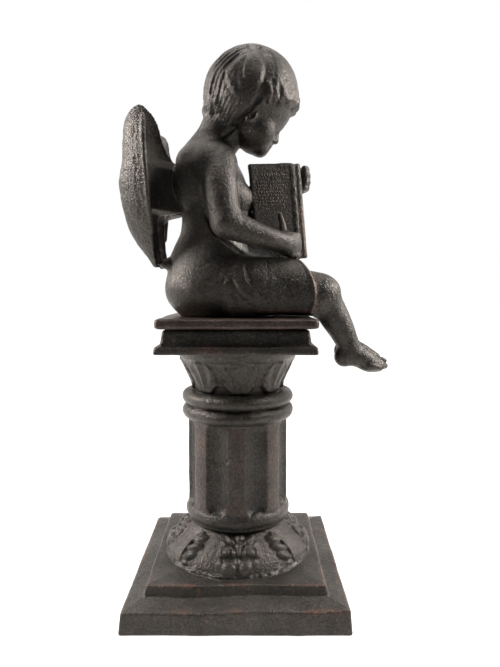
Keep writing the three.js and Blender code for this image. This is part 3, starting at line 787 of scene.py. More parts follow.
def add_torso(f):
    cut, X, Y, Z = f.window((-50, -38, 150), (26, 38, 262))
    z = np.asarray(Z, float).ravel()
    tz = [150, 156, 163, 172, 183, 190, 197, 207, 221, 233, 240, 246, 252, 262]
    back = [-29.5, -33.6, -36.8, -38.6, -37.8, -35.0, -31.8, -30.7, -32.8, -34.0, -32.2, -27.0, -22.5, -17.0]
    front = [8, 9, 10, 12, 12, 11, 9, 7.6, 6.0, 1.5, -3.0, -4.0, -1.0, 3.0]
    wide = [25, 28, 30, 30, 27, 24, 22.2, 22, 23.5, 21.0, 16.5, 12.5, 11.0, 10.5]
    b, fr, w = (spline(tz, q, z).astype(F4)[None, None, :] for q in (back, front, wide))
    c, rx = 0.5 * (b + fr), 0.5 * (fr - b)
    u, v = (X - c) / rx, Y / w
    k0 = np.sqrt(u * u + v * v)
    k1 = np.sqrt((u / rx) ** 2 + (v / w) ** 2) + 1e-5
    d = k0 * (k0 - 1) / k1
    # furrow of the spine, softened shoulder blades
    d = d + 0.9 * np.exp(-((Y / 2.2) ** 2)) * (X < -24) * sstep(176, 186, Z) * (1 - sstep(228, 240, Z))
    f.put(cut, d, 2.0)
    for s in (-1, 1):
        f.ell((-25.0, s * 12.5, 224), (8.6, 7.4, 13.0), turn(0, 0.1, 0), k=4.0)
        f.ell((-0.6, s * 9.5, 215.0), (9.0, 9.6, 10.0), k=4.0)  # breast
        f.ell((-16.8, s * 13, 167), (21.6, 18.2, 17.2), k=4.0)  # seat
    f.ell((-5.4, 0, 200), (15.0, 19.0, 14.5), k=4.0)  # belly
    f.ell((-20, 0, 239), (11, 17, 6.5), turn(0, -0.3, 0), k=5.0)  # shoulders into the neck


WAIST = [(-17.5, 207.0), (-14.4, 200.1), (-11.8, 195.0), (-7.3, 191.1), (-2.1, 187.3), (4.4, 183.1), (9.6, 182.6), (22.7, 183.0), (34.0, 182.0)]


def add_flap(f):
    """The cloth's waist edge, lapped over the flank, and the web of metal that
    fills the space between the lap and the forearm."""
    cut, X, Y, Z = f.window((-30, -40, 176), (14, -6, 212))
    x2, z2 = X[:, 0, 0][:, None].astype(float), Z[0, 0, :][None, :].astype(float)
    s, a = line_sd(x2, z2, catmull(WAIST[:7], 24))
    lap = 1.2 * sstep(-0.4, 0.4, -s) * np.exp(-np.maximum(-s, 0) / 9.0) - 1.3 * np.exp(-(((s - 1.2) / 0.9) ** 2))
    lap = lap * sstep(0.0, 0.2, a)
    f.d[cut] -= lap.astype(F4)[:, None, :] * sstep(7.0, 11.0, -Y)
    cut, X, Y, Z = f.window((-8, -22, 176), (26, -4, 202))
    web = smax(np.abs(Y + 12.6) - 2.2, smax(X - (20.6 - 0.75 * (Z - 184.0)), Z - 197.5, 1.0), 0.8)
    f.put(cut, smax(web, -6.0 - X, 1.0), 1.0)


def add_arms(f):
    # right arm along the lap
    f.ell((-11.5, -17.5, 232.0), (10.6, 10.2, 9.4), turn(0.5, 0, 0), k=6.0)
    f.limb([(-11.5, -11.0, 237.0, 7.6), (-10.2, -19.0, 231.4, 9.2), (-8.6, -26.0, 222, 8.9), (-7.2, -29.4, 211, 8.6), (-4.6, -31.0, 201, 8.0)], k=5.5, n=18)
    f.limb([(-4.4, -31.0, 200, 8.1), (3.0, -29.8, 197.0, 7.0), (10, -28, 194.6, 6.1), (17.0, -25.4, 192.6, 5.6), (23.0, -21.6, 191.2, 5.5)], k=2.0, n=16)
    # crease between the arm and the back
    cut, X, Y, Z = f.window((-26, -42, 196), (2, 42, 240))
    x2, z2 = X[:, 0, 0][:, None].astype(float), Z[0, 0, :][None, :].astype(float)
    g = line_d(x2, z2, catmull([(-9.0, 237.0), (-12.6, 231.0), (-16.0, 222.0), (-17.4, 214.0), (-15.4, 205.0)], 14))
    f.d[cut] += (0.55 * np.exp(-((g / 1.7) ** 2))).astype(F4)[:, None, :] * sstep(8, 13, np.abs(Y)).astype(F4)
    # right hand: a closed fist under the near cover, thumb up the cover
    f.ell((26.8, -17.6, 190.8), (6.2, 5.2, 6.5), turn(0, 0.15, 0.5), k=2.2)
    f.ell((30.0, -13.6, 190.4), (4.8, 4.8, 6.2), turn(0, 0.1, 0.7), k=1.6)
    for i in range(4):
        z = 195.2 - 3.3 * i
        f.limb([(28.6, -18.0, z - 0.3, 1.75), (32.2, -14.6, z - 0.2, 1.85), (32.4, -9.6, z + 0.3, 1.6)], k=0.9, n=8)
    f.limb([(24.6, -17.4, 195.6, 2.1), (24.4, -15.4, 200.0, 1.75), (23.2, -14.0, 204.6, 1.45), (22.8, -13.6, 206.4, 1.1)], k=0.9, n=10)
    # left arm bent up to the spine of the book
    f.ell((-11.5, 17.5, 232.0), (10.6, 10.2, 9.4), turn(-0.5, 0, 0), k=6.0)
    f.limb([(-11.5, 11.0, 237.0, 7.6), (-10.2, 19.0, 231.4, 9.2), (-7.4, 26.0, 222, 8.9), (-4.6, 29.4, 211, 8.4), (-1.4, 29.6, 203, 7.9)], k=5.5, n=18)
    f.limb([(-1.2, 29.6, 202.5, 8.0), (7, 27.6, 205.4, 7.0), (16, 23, 210.4, 6.0), (25, 16.0, 217.0, 5.4), (29.6, 12.0, 221.0, 5.2)], k=2.0, n=16)
    f.ell((32.6, 8.6, 226.6), (5.0, 5.4, 7.6), turn(0.4, -0.2, 0), k=2.0)
    for i in range(4):
        z = 233.2 - 3.5 * i
        bow = 1.0 - (i - 1.5) ** 2 * 0.34
        f.limb([(33.4, 8.6, z - 0.6, 2.0), (37.0 + bow, 5.6, z, 1.9), (38.0 + bow, 1.8, z - 0.1, 1.8), (36.6 + bow, -1.6, z - 0.4, 1.7)], k=2.2, n=10)


def add_legs(f):
    for side, ahead, up in ((-1, 0.0, 0.0), (1, 4.4, 0.2)):
        def p(x, y, z, r, a=ahead, q=up, s=side):
            return (x + a, s * y, z + q, r)

        f.limb([p(20, 15, 165.5, 12.6), p(34, 15, 165.0, 12.2), p(43.2, 15, 164.2, 11.6)], k=2.0)
        f.ell(p(47.0, 15, 164.5, 0)[:3], (7.0, 8.2, 8.2), turn(0, 0.7, 0), k=3.0)  # kneecap
        f.limb([p(45.0, 15, 161.0, 9.6), p(50.6, 15, 155.6, 7.9), p(55.4, 15, 146.8, 7.1), p(58.6, 15, 140.0, 6.2), p(60.8, 15, 135.4, 5.9)], k=2.2, n=14)
        f.ell(p(50.6, 15, 152.0, 0)[:3], (5.8, 6.8, 8.6), turn(0, -0.45, 0), k=3.0)  # calf
        # foot: heel, instep, ball, toes
        f.ell(p(57.6, 14.8, 130.6, 0)[:3], (5.2, 4.9, 5.4), k=2.2)
        f.limb([p(60.4, 14.8, 132.0, 5.6), p(66.6, 14.6, 130.2, 5.6), p(72.6, 14.2, 127.4, 4.6), p(76.4, 14.0, 126.0, 3.6)], k=2.0, n=12)
        f.ell(p(71.5, 13.8, 125.6, 0)[:3], (5.6, 6.4, 3.2), turn(0, 0.08, 0), k=2.0)
        for i in range(5):
            long = (81.0, 80.4, 79.4, 78.0, 76.4)[i]
            fat = (2.0, 1.6, 1.5, 1.4, 1.3)[i]
            yy = 10.0 + 2.15 * i  # the big toe lies inwards
            f.limb([p(74.0 - i * 0.4, yy + 0.1, 125.9, fat + 0.3), p(long - 1.6, yy - 0.1, 125.3, fat), p(long, yy - 0.1, 125.0, fat * 0.86)], k=0.7, n=6)


HAIR_C = (7.6, 0.0, 272.0)
HAIR_R = (25.7, 23.9, 25.7)


def add_head(f):
    bow = 0.5
    Fd = np.array([math.cos(bow), 0, -math.sin(bow)])
    Ud = np.array([math.sin(bow), 0, math.cos(bow)])
    c = np.array([10.4, 0.0, 257.2])
    rot = np.array([[Fd[0], 0, Ud[0]], [0, 1, 0], [Fd[2], 0, Ud[2]]])

    def w(a, l, u, *r):
        q = c + Fd * a + Ud * u
        return (q[0], l, q[2], *r)

    # neck, skull, face mass
    f.limb([(-16, 0, 240, 12.2), (-9.5, 0, 249, 11.4), (-3.0, 0, 259, 12.4)], k=3.0)
    f.ell((8.0, 0, 270.5), (23.2, 21.4, 23.0), k=1.6)
    face = Field((-14, -24, 232), (32, 24, 282), f.h)
    face.ell(c, (12.4, 15.8, 14.6), rot, k=1.0)
    face.ell(w(1.5, 0, 8.5), (11.6, 15.6, 10.0), rot, k=4.0)
    face.ell(w(3.6, 0, -8.4), (8.8, 11.4, 6.8), rot, k=4.0)
    for s in (-1, 1):
        face.ell(w(6.0, s * 8.0, -4.0), (6.6, 6.6, 6.8), rot, k=3.5)
    face.ell(w(8.8, 0, -11.6), (3.6, 4.6, 3.4), rot, k=2.6)
    for s in (-1, 1):
        face.ell(w(11.8, s * 5.8, 2.4), (3.0, 4.2, 2.7), rot, k=2.2, cutter=True)
        face.ell(w(8.7, s * 5.8, 1.8), (2.9, 3.5, 2.6), rot, k=0.7)
        face.limb([w(11.0, s * 2.9, 0.9, 0.45), w(11.7, s * 5.6, 0.2, 0.45), w(10.4, s * 8.6, 0.8, 0.45)], k=0.4, n=8, cutter=True)
        face.limb([w(11.9, s * 2.4, 5.6, 0.9), w(11.8, s * 5.8, 6.6, 1.0), w(9.4, s * 9.6, 5.6, 0.8)], k=2.0, n=8)
        face.ell(w(12.6, s * 1.75, -3.9), (1.5, 1.25, 1.2), rot, k=0.7)
    face.limb([w(10.9, 0, 4.0, 1.4), w(12.4, 0, 0.4, 1.5), w(13.7, 0, -3.0, 1.8)], k=1.3, n=8)
    face.limb([w(10.0, -4.0, -7.6, 0.7), w(12.0, -1.5, -6.9, 1.1), w(12.0, 0, -7.2, 1.0), w(12.0, 1.5, -6.9, 1.1), w(10.0, 4.0, -7.6, 0.7)], k=0.9, n=14)
    face.limb([w(10.2, -3.2, -8.5, 0.8), w(11.7, 0, -9.1, 1.35), w(10.2, 3.2, -8.5, 0.8)], k=0.9, n=12)
    face.limb([w(11.0, -4.2, -7.9, 0.4), w(12.9, 0, -8.1, 0.45), w(11.0, 4.2, -7.9, 0.4)], k=0.35, n=12, cutter=True)
    # ears, half under the hair
    for s in (-1, 1):
        face.ell((7.6, s * 17.2, 256.4), (3.2, 1.9, 4.4), turn(0, 0.35, 0), k=0.7)
        face.ell((8.2, s * 19.2, 256.6), (1.6, 1.3, 2.5), turn(0, 0.35, 0), k=0.6, cutter=True)
    cut, X, Y, Z = f.window((-14, -24, 232), (32, 24, 282))
    # the face field is read at the body's own grid points
    gx = np.clip((X.ravel() - face.x[0]) / f.h, 0, len(face.x) - 1.001)
    gy = np.clip((Y.ravel() - face.y[0]) / f.h, 0, len(face.y) - 1.001)
    gz = np.clip((Z.ravel() - face.z[0]) / f.h, 0, len(face.z) - 1.001)
    d = face.d
    for ax, g in ((0, gx), (1, gy), (2, gz)):
        i = g.astype(int)
        t = (g - i).astype(F4)
        shape = [1, 1, 1]
        shape[ax] = len(g)
        t = t.reshape(shape)
        d = np.take(d, i, ax) * (1 - t) + np.take(d, i + 1, ax) * t
    f.put(cut, d, 1.1)


def add_hair(f):
    cut, X, Y, Z = f.window((-24, -29, 242), (40, 29, 303))
    x2, z2 = X[:, 0, 0][:, None].astype(float), Z[0, 0, :][None, :].astype(float)
    d = ell_d(X, Y, Z, HAIR_C, HAIR_R)
    side = sstep(2.0, 9.0, np.abs(Y))

    def groove(pts, depth, width):
        g = line_d(x2, z2, catmull(pts, 24))
        return (depth * np.exp(-((g / width) ** 2))).astype(F4)[:, None, :]

    # combed strands from the crown down the back of the head
    cutmap = 0.0
    for pts, dep in (
        ([(4.6, 294.4), (-3.8, 290.8), (-10.2, 285.6), (-14.6, 280.2), (-18.2, 272)], 0.6),
        ([(5.0, 293), (-2.3, 289.5), (-8.5, 284.3), (-13.0, 279.1), (-16.4, 271)], 1.0),
        ([(5.5, 291.6), (-0.6, 287.8), (-6.3, 282.8), (-10.5, 277.8), (-13.4, 269)], 1.1),
        ([(5.7, 290.4), (0.9, 286.1), (-4.7, 281.1), (-8.8, 276.1), (-11.7, 267)], 1.0),
        ([(6.0, 289.4), (2.0, 284.6), (-2.6, 280.0), (-6.7, 274.5), (-8.8, 266)], 0.8),
    ):
        cutmap = cutmap + groove(pts, dep, 0.7)

    def lap(pts, height, fall, flip=False):
        pts = catmull(pts, 24)
        return ledge(x2, z2, pts[::-1] if flip else pts, height, fall, 0.14)[:, None, :]

    # broad side locks lapping over each other, and the deep parting in front
    cutmap = cutmap - lap([(7.4, 287), (0.4, 283.6), (-4.6, 278.2), (-4.9, 273.6), (-2.8, 268.4), (1.4, 262.6)], 1.0, 4.0)
    cutmap = cutmap - lap([(10.0, 288.0), (7.0, 285.4), (4.6, 280.2), (4.0, 275.6), (4.4, 272.0)], 0.6, 4.5)
    cutmap = cutmap - lap([(2.6, 276.8), (1.2, 274.0), (1.3, 270.6), (3.0, 267.0)], 0.35, 3.0)
    part = [(11.6, 291.0), (13.2, 286.4), (14.3, 281.0), (14.6, 276.6), (13.9, 272.0), (12.4, 267.0), (10.0, 262.2)]
    cutmap = cutmap + groove([(p[0] + 0.5, p[1]) for p in part], 1.0, 1.2) + groove([(p[0] + 1.6, p[1]) for p in part], 0.8, 2.4)
    # front locks
    cutmap = cutmap - lap([(15.6, 291.4), (19.2, 286.0), (20.4, 281.0), (20.6, 276.0), (19.6, 270.6)], 0.4, 3.0)
    cutmap = cutmap + groove([(18.0, 291.0), (23.6, 284.8), (25.4, 279.0), (25.0, 274)], 0.22, 1.1)
    cutmap = cutmap + groove([(18.4, 271.6), (18.8, 267.2), (18.6, 262.6)], 0.7, 0.7)
    d = d + cutmap * side
    # strands round the back and over the brow, where the side lines fade
    az = np.arctan2(Y, -(X - 8.0))
    wave = 0.42 * np.cos(az * 19.0 + 0.8 * np.sin(Z * 0.16))
    d = d + wave * (1 - side * 0.75) * (X < 4) * sstep(262, 268, Z) * (1 - sstep(291, 297, Z))
    azf = np.arctan2(Y, X - 2.0)
    wavef = 0.34 * np.cos(azf * 15.0 + 0.5 * np.sin(Z * 0.2))
    d = d + wavef * (1 - side * 0.6) * (X > 14) * (1 - sstep(288, 296, Z))
    # fine combed lines radiating from the crown
    rad = np.arctan2(z2 - 300.0, x2 - 9.5)
    fine = (0.06 * np.sin(rad * 74.0) + 0.05 * np.sin(rad * 121.0 + 1.0)).astype(F4)[:, None, :]
    d = d + fine * side * (1 - sstep(290, 296, Z))
    # lower edge: over the brow, up at the temple, down behind the ear to the nape
    edge_x = [-30, -24, -18, -10, -2, 4, 10, 14, 18, 24, 30, 40]
    edge_z = [261, 259.0, 254.0, 249.0, 248.6, 253.6, 259.4, 261.6, 262.6, 263.4, 264.2, 265.0]
    low = spline(edge_x, edge_z, np.asarray(X, float).ravel()).astype(F4)[:, None, None]
    low = low + 0.7 * np.sin(np.abs(Y) * 0.9 + X * 0.5)
    d = smax(d, (low - Z) * 0.9, 1.8 + 4.4 * (1 - sstep(2.0, 12.0, X)))
    f.put(cut, d, 0.7)
    # short curled strands along the brow, in low relief over a soft roll
    for row, (count, zc, rr, push) in enumerate(((11, 266.8, 1.7, -0.5), (10, 270.6, 1.3, -0.6))):
        for i in range(count):
            a = (-60 + 120 * (i + 0.5 * (row % 2)) / (count - 0.5)) * math.pi / 180
            wob = 0.8 * math.sin(i * 2.3 + row)
            lean = 1.6 * math.sin(i * 1.7 + 2 * row)
            ca, sa = math.cos(a), math.sin(a)
            rx, ry = 25.2 + push, 23.6 + push
            px, py, pz = 7.5 + rx * ca, ry * sa, zc + wob + 0.8 * ca
            f.limb(
                [
                    (px - 1.6 * ca + sa * lean, py - 1.5 * sa - ca * lean, pz + 4.2, 1.0),
                    (px, py, pz + 1.0, rr),
                    (px - 0.2 * ca - sa * lean * 0.9, py - 0.2 * sa + ca * lean * 0.9, pz - 1.8, rr * 0.85),
                    (px - 1.4 * ca - sa * lean * 1.8, py - 1.4 * sa + ca * lean * 1.8, pz - 2.8, 0.8),
                ],
                k=1.6, n=8,
            )
    # temple lock and low tufts at the nape
    f.both([(16.4, -21.4, 271.0, 1.2), (17.0, -21.2, 266.2, 1.7), (16.6, -19.8, 262.2, 1.1)], k=0.9, n=8)
    for y, x0 in ((-15.5, -9.6), (-10.4, -14.2), (-5.0, -16.4)):
        f.both([(x0 + 0.8, y, 268.0, 1.2), (x0 - 0.2, y * 0.97, 264.0, 1.7), (x0 + 0.6, y * 0.92, 260.6, 1.1)], k=2.0, n=8)
    f.limb([(-16.6, 0, 268.0, 1.2), (-17.6, 0, 264.0, 1.8), (-16.4, 0, 260.6, 1.1)], k=2.0, n=8)
    # a fuller roll along the lower edge of the fringe
    f.limb([(19.2, -19.2, 264.6, 1.2), (25.4, -15.0, 265.2, 1.5), (30.0, -8.6, 266.0, 1.7), (31.8, 0, 266.4, 1.8), (30.0, 8.6, 266.0, 1.7), (25.4, 15.0, 265.2, 1.5), (19.2, 19.2, 264.6, 1.2)], k=2.2, n=24)
    # hairline behind the cheek, and thin strands carried on down the neck
    cut, X, Y, Z = f.window((-24, -26, 240), (18, 26, 268))
    x2, z2 = X[:, 0, 0][:, None].astype(float), Z[0, 0, :][None, :].astype(float)
    seam = line_d(x2, z2, catmull([(12.0, 264.0), (9.0, 260.6), (1.0, 254.0), (-7.2, 247.4)], 14))
    cutm = (1.3 * np.exp(-((seam / 0.75) ** 2))).astype(F4)[:, None, :]
    lines = 0.0
    for i in range(6):
        o = 2.3 * (i + 1)
        g = line_d(x2, z2, catmull([(6.0 - o * 1.1, 263.5 + o * 0.1), (0.6 - o * 0.8, 257.0 + o * 0.35), (-6.2 - o * 0.55, 250.6 + o * 0.4)], 10))
        lines = lines + (0.32 * np.exp(-((g / 0.55) ** 2))).astype(F4)[:, None, :]
    f.d[cut] += (cutm + lines) * sstep(6.0, 9.0, np.abs(Y)).astype(F4)


CLOTH_HEM = ([150, 155.2, 159.2, 165.2, 171.2, 176.6, 181.2, 186, 200], [37.4, 39.0, 40.6, 41.0, 39.9, 37.8, 34.6, 30.0, 20.0])


def add_cloth(f):
    c = Field((-46, -40, 146), (50, 40, 204), f.h)
    cut, X, Y, Z = c.window((-46, -40, 146), (50, 40, 204))
    for s, ahead in ((-1, 0.0), (1, 2.0)):
        c.limb([(-8, s * 14.8, 168.6, 17.6), (6, s * 15.8, 168.2, 17.6), (22, s * 15.8, 168.0, 16.0), (42 + ahead, s * 15.2, 166.6, 14.4)], k=4.0, n=12)
        # skirts of the cloth hang straight to the slab
        c.limb([(2, s * 23.0, 160.0, 9.6), (20, s * 22.0, 159.4, 9.6), (40 + ahead, s * 19.0, 160.4, 9.2)], k=4.0, n=8)
    c.ell((-17.6, 0, 166.6), (21.2, 32.0, 17.6), k=4.0)
    c.limb([(0, 0, 171, 13.0), (40, 0, 169.4, 11.0)], k=4.0)
    x2, z2 = X[:, 0, 0][:, None].astype(float), Z[0, 0, :][None, :].astype(float)

    def line(pts, amount, width, n=20):
        g = line_d(x2, z2, catmull(pts, n))
        return (amount * np.exp(-((g / width) ** 2))).astype(F4)[:, None, :]

    near = sstep(9.0, 17.0, -Y)
    # front panel over the thigh laps over the seat; soft creases run down from the waist
    fold = [(-2.4, 176.0), (-0.6, 171.5), (0.8, 168.2), (3.6, 164.8), (7.4, 161.8), (9.6, 158.6), (10.9, 152.0)]
    m = ledge(x2, z2, catmull(fold, 24), 0.8, 8.0, 0.3, 1.1)[:, None, :]
    m = m - line([(5.1, 179.1), (6.1, 174.1), (8.9, 168.4), (12.5, 165.2)], 0.42, 1.3) + line([(3.0, 178.4), (4.0, 173.6), (6.6, 167.8)], 0.22, 1.6)
    m = m - line([(0.0, 181.0), (-3.8, 175.3), (-5.7, 170.9)], 0.36, 1.5) - line([(-3.1, 179.6), (-9.5, 174.1), (-15.9, 167.7)], 0.40, 2.2)
    m = m + line([(-4.4, 172.6), (-5.2, 168.6)], 0.30, 1.2) + line([(-13.6, 189), (-20.0, 182.5), (-26.0, 176.4), (-30, 171)], 0.45, 3.0)
    m = m + line([(-2.6, 163.0), (-1.4, 158.4)], 0.40, 1.6) - line([(0.6, 163.4), (2.4, 157.6)], 0.40, 1.6)
    m = m - line([(16, 177.0), (24, 171), (29, 164)], 0.5, 4.2) + line([(20, 159.0), (29, 161.0), (36, 164.5)], 0.4, 3.6)
    waist = WAIST[4:]
    m = m - line([(p[0] + 0.6, p[1] + 1.8) for p in waist], 1.0, 0.9)
    far = sstep(9.0, 17.0, Y)
    g = line([(0, 184), (6, 172), (14, 160), (17, 153)], 1.4, 1.8) - line([(-3, 182), (3, 170), (11, 158)], 1.4, 1.6)
    g = g + line([(-10, 186), (-4, 174), (0, 160), (1, 153)], 1.1, 1.8)
    g = g + line([(14, 181), (24, 170), (30, 156)], 0.9, 2.6)
    c.d[cut] = c.d[cut] - m * near - g * far
    # edge of the cloth over the knees, with a rolled hem
    hem = np.interp(np.asarray(Z, float).ravel(), CLOTH_HEM[0], CLOTH_HEM[1]).astype(F4)[None, None, :]
    hem = hem + np.where(Y > 0, 2.0, 0.0).astype(F4) * sstep(0, 8, np.abs(Y)) - 3.2 * (1 - sstep(2.0, 9.0, np.abs(Y)))
    away = hem - X
    rim = 0.7 * np.exp(-(((away - 0.9) / 0.9) ** 2))
    low = 0.55 * np.exp(-(((Z - 156.0) / 1.2) ** 2)) * sstep(9, 13, X)
    c.d[cut] = smax(c.d[cut] - (rim + low) * sstep(4, 10, np.abs(Y)), -away, 0.9)
    c.d[cut] = smax(c.d[cut], SEAT + 2.3 * sstep(8.8, 10.6, X) * sstep(9, 14, np.abs(Y)) - Z, 0.7)
    join(f, c, 1.0)


def join(f, c, k):
    """Adds field c, on the same step, to field f."""
    i = [int(round((c.lo[a] - f.lo[a]) / f.h)) for a in range(3)]
    cut = tuple(slice(i[a], i[a] + c.d.shape[a]) for a in range(3))
    f.d[cut] = smin(f.d[cut], c.d, k)


def snap(f, lo, hi):
    """A field on f's own grid points that covers lo..hi."""
    lo = [f.lo[a] + f.h * math.floor((lo[a] - f.lo[a]) / f.h) for a in range(3)]
    return Field(lo, hi, f.h)


def wing_lines(z):
    v = (z - WING_LOW) / (WING_HIGH - WING_LOW)
    vc = np.clip(v, 0, 1)
    out = 10.5 + 23 * np.sin(np.pi / 2 * np.minimum(1, vc / 0.72)) ** 0.8 - 4 * sstep(0.75, 1, vc)
    bx, by = -42.4 - 3.8 * vc, -out
    fx = -37.8 - 4.8 * sstep(0.02, 0.34, vc) + 1.8 * sstep(0.6, 0.9, vc)
    fy = -9.5 - 5 * vc - 10 * sstep(0.7, 1, vc)
    return v, bx, by, fx, fy


def add_wings(f):
    cut, X, Y, Z = f.window((-66, -40, 174), (-22, 40, 262))
    Yn = -np.abs(Y)
    z = np.asarray(Z, float).ravel()
    v, bx, by, fx, fy = wing_lines(z)
    vc = np.clip(v, 0, 1)
    # inner edge of the front: free below, let into the back, then curving out to the tip
    iz = [178, 190, 203.6, 205.8, 208.4, 229.5, 234.5, 238, 241.7, 245.4, 249.3, 255.4, 258]
    ix = [-37.8, -41.0, -42.0, -40.6, -27.0, -27.0, -33.6, -36.2, -37.9, -38.9, -39.4, -40.6, -41.6]
    iy = [-9.5, -10.3, -11.1, -10.6, -6.2, -6.2, -8.5, -10.4, -12.4, -14.6, -17.0, -21.5, -24.0]
    ax_, ay_ = np.interp(z, iz, ix), np.interp(z, iz, iy)
    up = sstep(221, 248, z)
    fx, fy = fx + (ax_ - fx) * up, fy + (ay_ - fy) * up
    swell = 18.2 * np.clip(np.sin(np.pi * np.minimum(1, 0.11 + 0.70 * vc)), 0, 1) ** 0.75 * (0.74 + 0.26 * sstep(0.0, 0.3, vc))
    edge = 6.2
    kx, ky = -0.95, 0.30
    cap = np.sqrt(np.clip(1 - np.clip((v - 0.86) / 0.142, 0, 2) ** 2.6, 0.0004, 1)) * np.clip(np.minimum(1, 0.55 + 2.8 * v), 0.3, 1)
    cx = fx + (bx - fx) * 0.6 + kx * 0.3 * swell
    cy = fy + (by - fy) * 0.6 + ky * 0.3 * swell

    def col(a):
        return np.asarray(a, F4)[None, None, :]

    capc = col(cap)
    px = col(cx) + (X - col(cx)) / capc
    py = col(cy) + (Yn - col(cy)) / capc

    def solve(ox, oy):
        sx, sy = col(bx - ox), col(by - oy)
        det = sx * ky - sy * kx
        qx, qy = px - col(ox), py - col(oy)
        return (qx * ky - qy * kx) / det, (sx * qy - sy * qx) / det, np.sqrt(sx * sx + sy * sy)

    s_f, n_f, len_f = solve(fx, fy)
    s_a, n_a, len_a = solve(ax_, ay_)
    back = edge * s_f + (col(swell) - 0.5 * edge) * np.sin(np.pi * np.clip(0.1 + 0.84 * s_f, 0, 1))
    # feathers: two tiers of scales above, long quills below, barbs on all
    q = s_f * len_f
    zz = Z - 0.10 * q
    tier = sstep(222, 228, Z)
    lane = q / 4.3 + 0.25 * np.sin(Z * 0.05)
    fr = lane - np.floor(lane) - 0.5
    quill = 0.34 * (0.25 - fr * fr) * 4.0 - 0.2
    row = np.floor(zz / 6.4)
    lane2 = q / 5.0 + 0.5 * np.mod(row, 2)
    fr2 = lane2 - np.floor(lane2) - 0.5
    up = zz / 6.4 - row
    scale_ = 0.32 * sstep(0.0, 0.5, up - 1.1 * fr2 * fr2) * (1.15 - up) - 0.15
    barb = 0.13 * np.sin((zz * 1.0 + np.abs(fr) * 5.0) * 4.4)
    plume = quill * (1 - tier) + scale_ * tier + barb
    plume = plume * sstep(0.02, 0.12, s_f) * (1 - 0.85 * sstep(0.86, 0.98, s_f)) * (1 - sstep(246, 251, Z))
    plume = plume * sstep(179, 187, Z)
    front = 3.2 * np.sin(np.pi * np.clip(s_a, 0, 1))
    d_back = (n_f - back - plume) * 0.86
    d_front = (front - n_a) * 0.95
    # the outer edge: a plain band beside the rib, with cross nicks lower down,
    # then long wavy barbs behind a furrow
    free = sstep(186, 198, Z) * (1 - sstep(246, 251, Z))
    nick = 0.20 * np.sin(Z * 3.3 + 0.5 * np.sin(Z * 0.9)) * sstep(0.6, 1.4, n_f) * (1 - sstep(3.6, 4.4, n_f)) * sstep(203, 208, Z) * (1 - sstep(229, 234, Z))
    at = n_f - 4.9 - 0.5 * np.sin(Z * 0.35) - 0.25 * np.sin(Z * 1.1)
    furrow = 0.34 * np.exp(-((at / 0.7) ** 2)) * free
    barbs = 0.24 * np.cos(at * 2.9 + 1.2 * np.sin(Z * 0.12) + 0.5 * np.sin(Z * 0.31)) * sstep(0.8, 1.8, at) * sstep(180, 190, Z) * (1 - sstep(246, 251, Z))
    d_out = (s_f - 1.03) * len_f * 0.95 - nick + furrow - barbs
    d_in = -s_a * len_a
    d = smax(smax(d_back, d_out, 5.0), smax(d_front, d_in, 1.0), 1.0)
    d = d * np.minimum(1, capc + 0.15)
    d = smax(d, np.abs(Z - 0.5 * (WING_LOW + WING_HIGH)) - 0.5 * (WING_HIGH - WING_LOW), 0.8)
    d = smax(d, WING_LOW + 1.4 - Z, 0.6)
    f.put(cut, d, 0.9)
    # raised rib on the front corner
    zs = np.linspace(196, 253, 26)
    _, bx, by, fx, fy = wing_lines(zs)
    rib = [(x + 0.1, y + 0.1, q, 0.6 + 0.75 * float(sstep(196, 212, q) * (1 - 0.6 * sstep(248, 253, q)))) for x, y, q in zip(bx, by, zs)]
    f.both(rib, k=0.6, n=40)
    # the lower tips rest against the waist
    f.both([(-31, -6, 181.0, 4.6), (-35.4, -8.4, 180.6, 3.8), (-39.4, -10.6, 180.4, 2.2)], k=1.4, n=8)


def add_book(f):
    """Open book: two covers hinged at the spine and leaves inside; the text relief is built in book_strokes."""
    lean = 0.09
    base = np.array([37.0, -3.0, 183.6])
    up = np.array([-math.sin(lean), 0, math.cos(lean)])
    H, W = 52.0, 27.6
    cut, X, Y, Z = f.window((-2, -22, 176), (46, 26, 242))
    qx, qy, qz = X - base[0], Y - base[1], Z - base[2]
    t = qx * up[0] + qz * up[2]  # up the spine
    across = -(qx * up[2] - qz * up[0])  # away from the spine, towards the reader
    out = None
    for yaw, side in ((0.30, -1.0), (0.40, 1.0)):
        cy, sy = math.cos(yaw), math.sin(yaw)
        a = across * cy + side * qy * sy  # along the cover
        n = -across * sy + side * qy * cy  # outward of the cover
        corner = 4.0
        ex = np.abs(a - W / 2) - W / 2
        ez = np.abs(t - H / 2) - H / 2
        # rounded corners at the spine's ends
        rx, rz = np.maximum(ex + corner, 0), np.maximum(ez + corner, 0)
        round_ = np.hypot(rx, rz) - corner
        flat = np.where(a < W / 2, np.maximum(round_, np.maximum(ex, ez)), np.maximum(ex, ez))
        worn = 0.35 * np.sin(t * 0.5) * np.exp(-((a / 1.6) ** 2)) + 0.5 * np.exp(-(((t - 21) / 2.2) ** 2) - (a / 1.3) ** 2) + 0.6 * np.exp(-(((t - 13) / 1.8) ** 2) - (a / 1.2) ** 2)
        d = smax(flat + worn, np.abs(n) - 1.75, 0.7)
        leaves = smax(smax(np.abs(a - 13.4) - 12.4, np.abs(t - H / 2) - 24.6, 0.6), np.abs(n + 2.6) - 1.5, 0.6)
        leaves = leaves + 0.18 * np.sign(np.sin(n * 9.0))
        d = smin(d, leaves, 0.4)
        out = d if out is None else smin(out, d, 0.8)
    spine = smax(np.hypot(across + 0.1, qy) - 1.85, np.abs(t - H / 2) - H / 2 + 0.3, 0.9)
    out = smin(out, spine, 0.9)
    f.put(cut, out, 0.45)


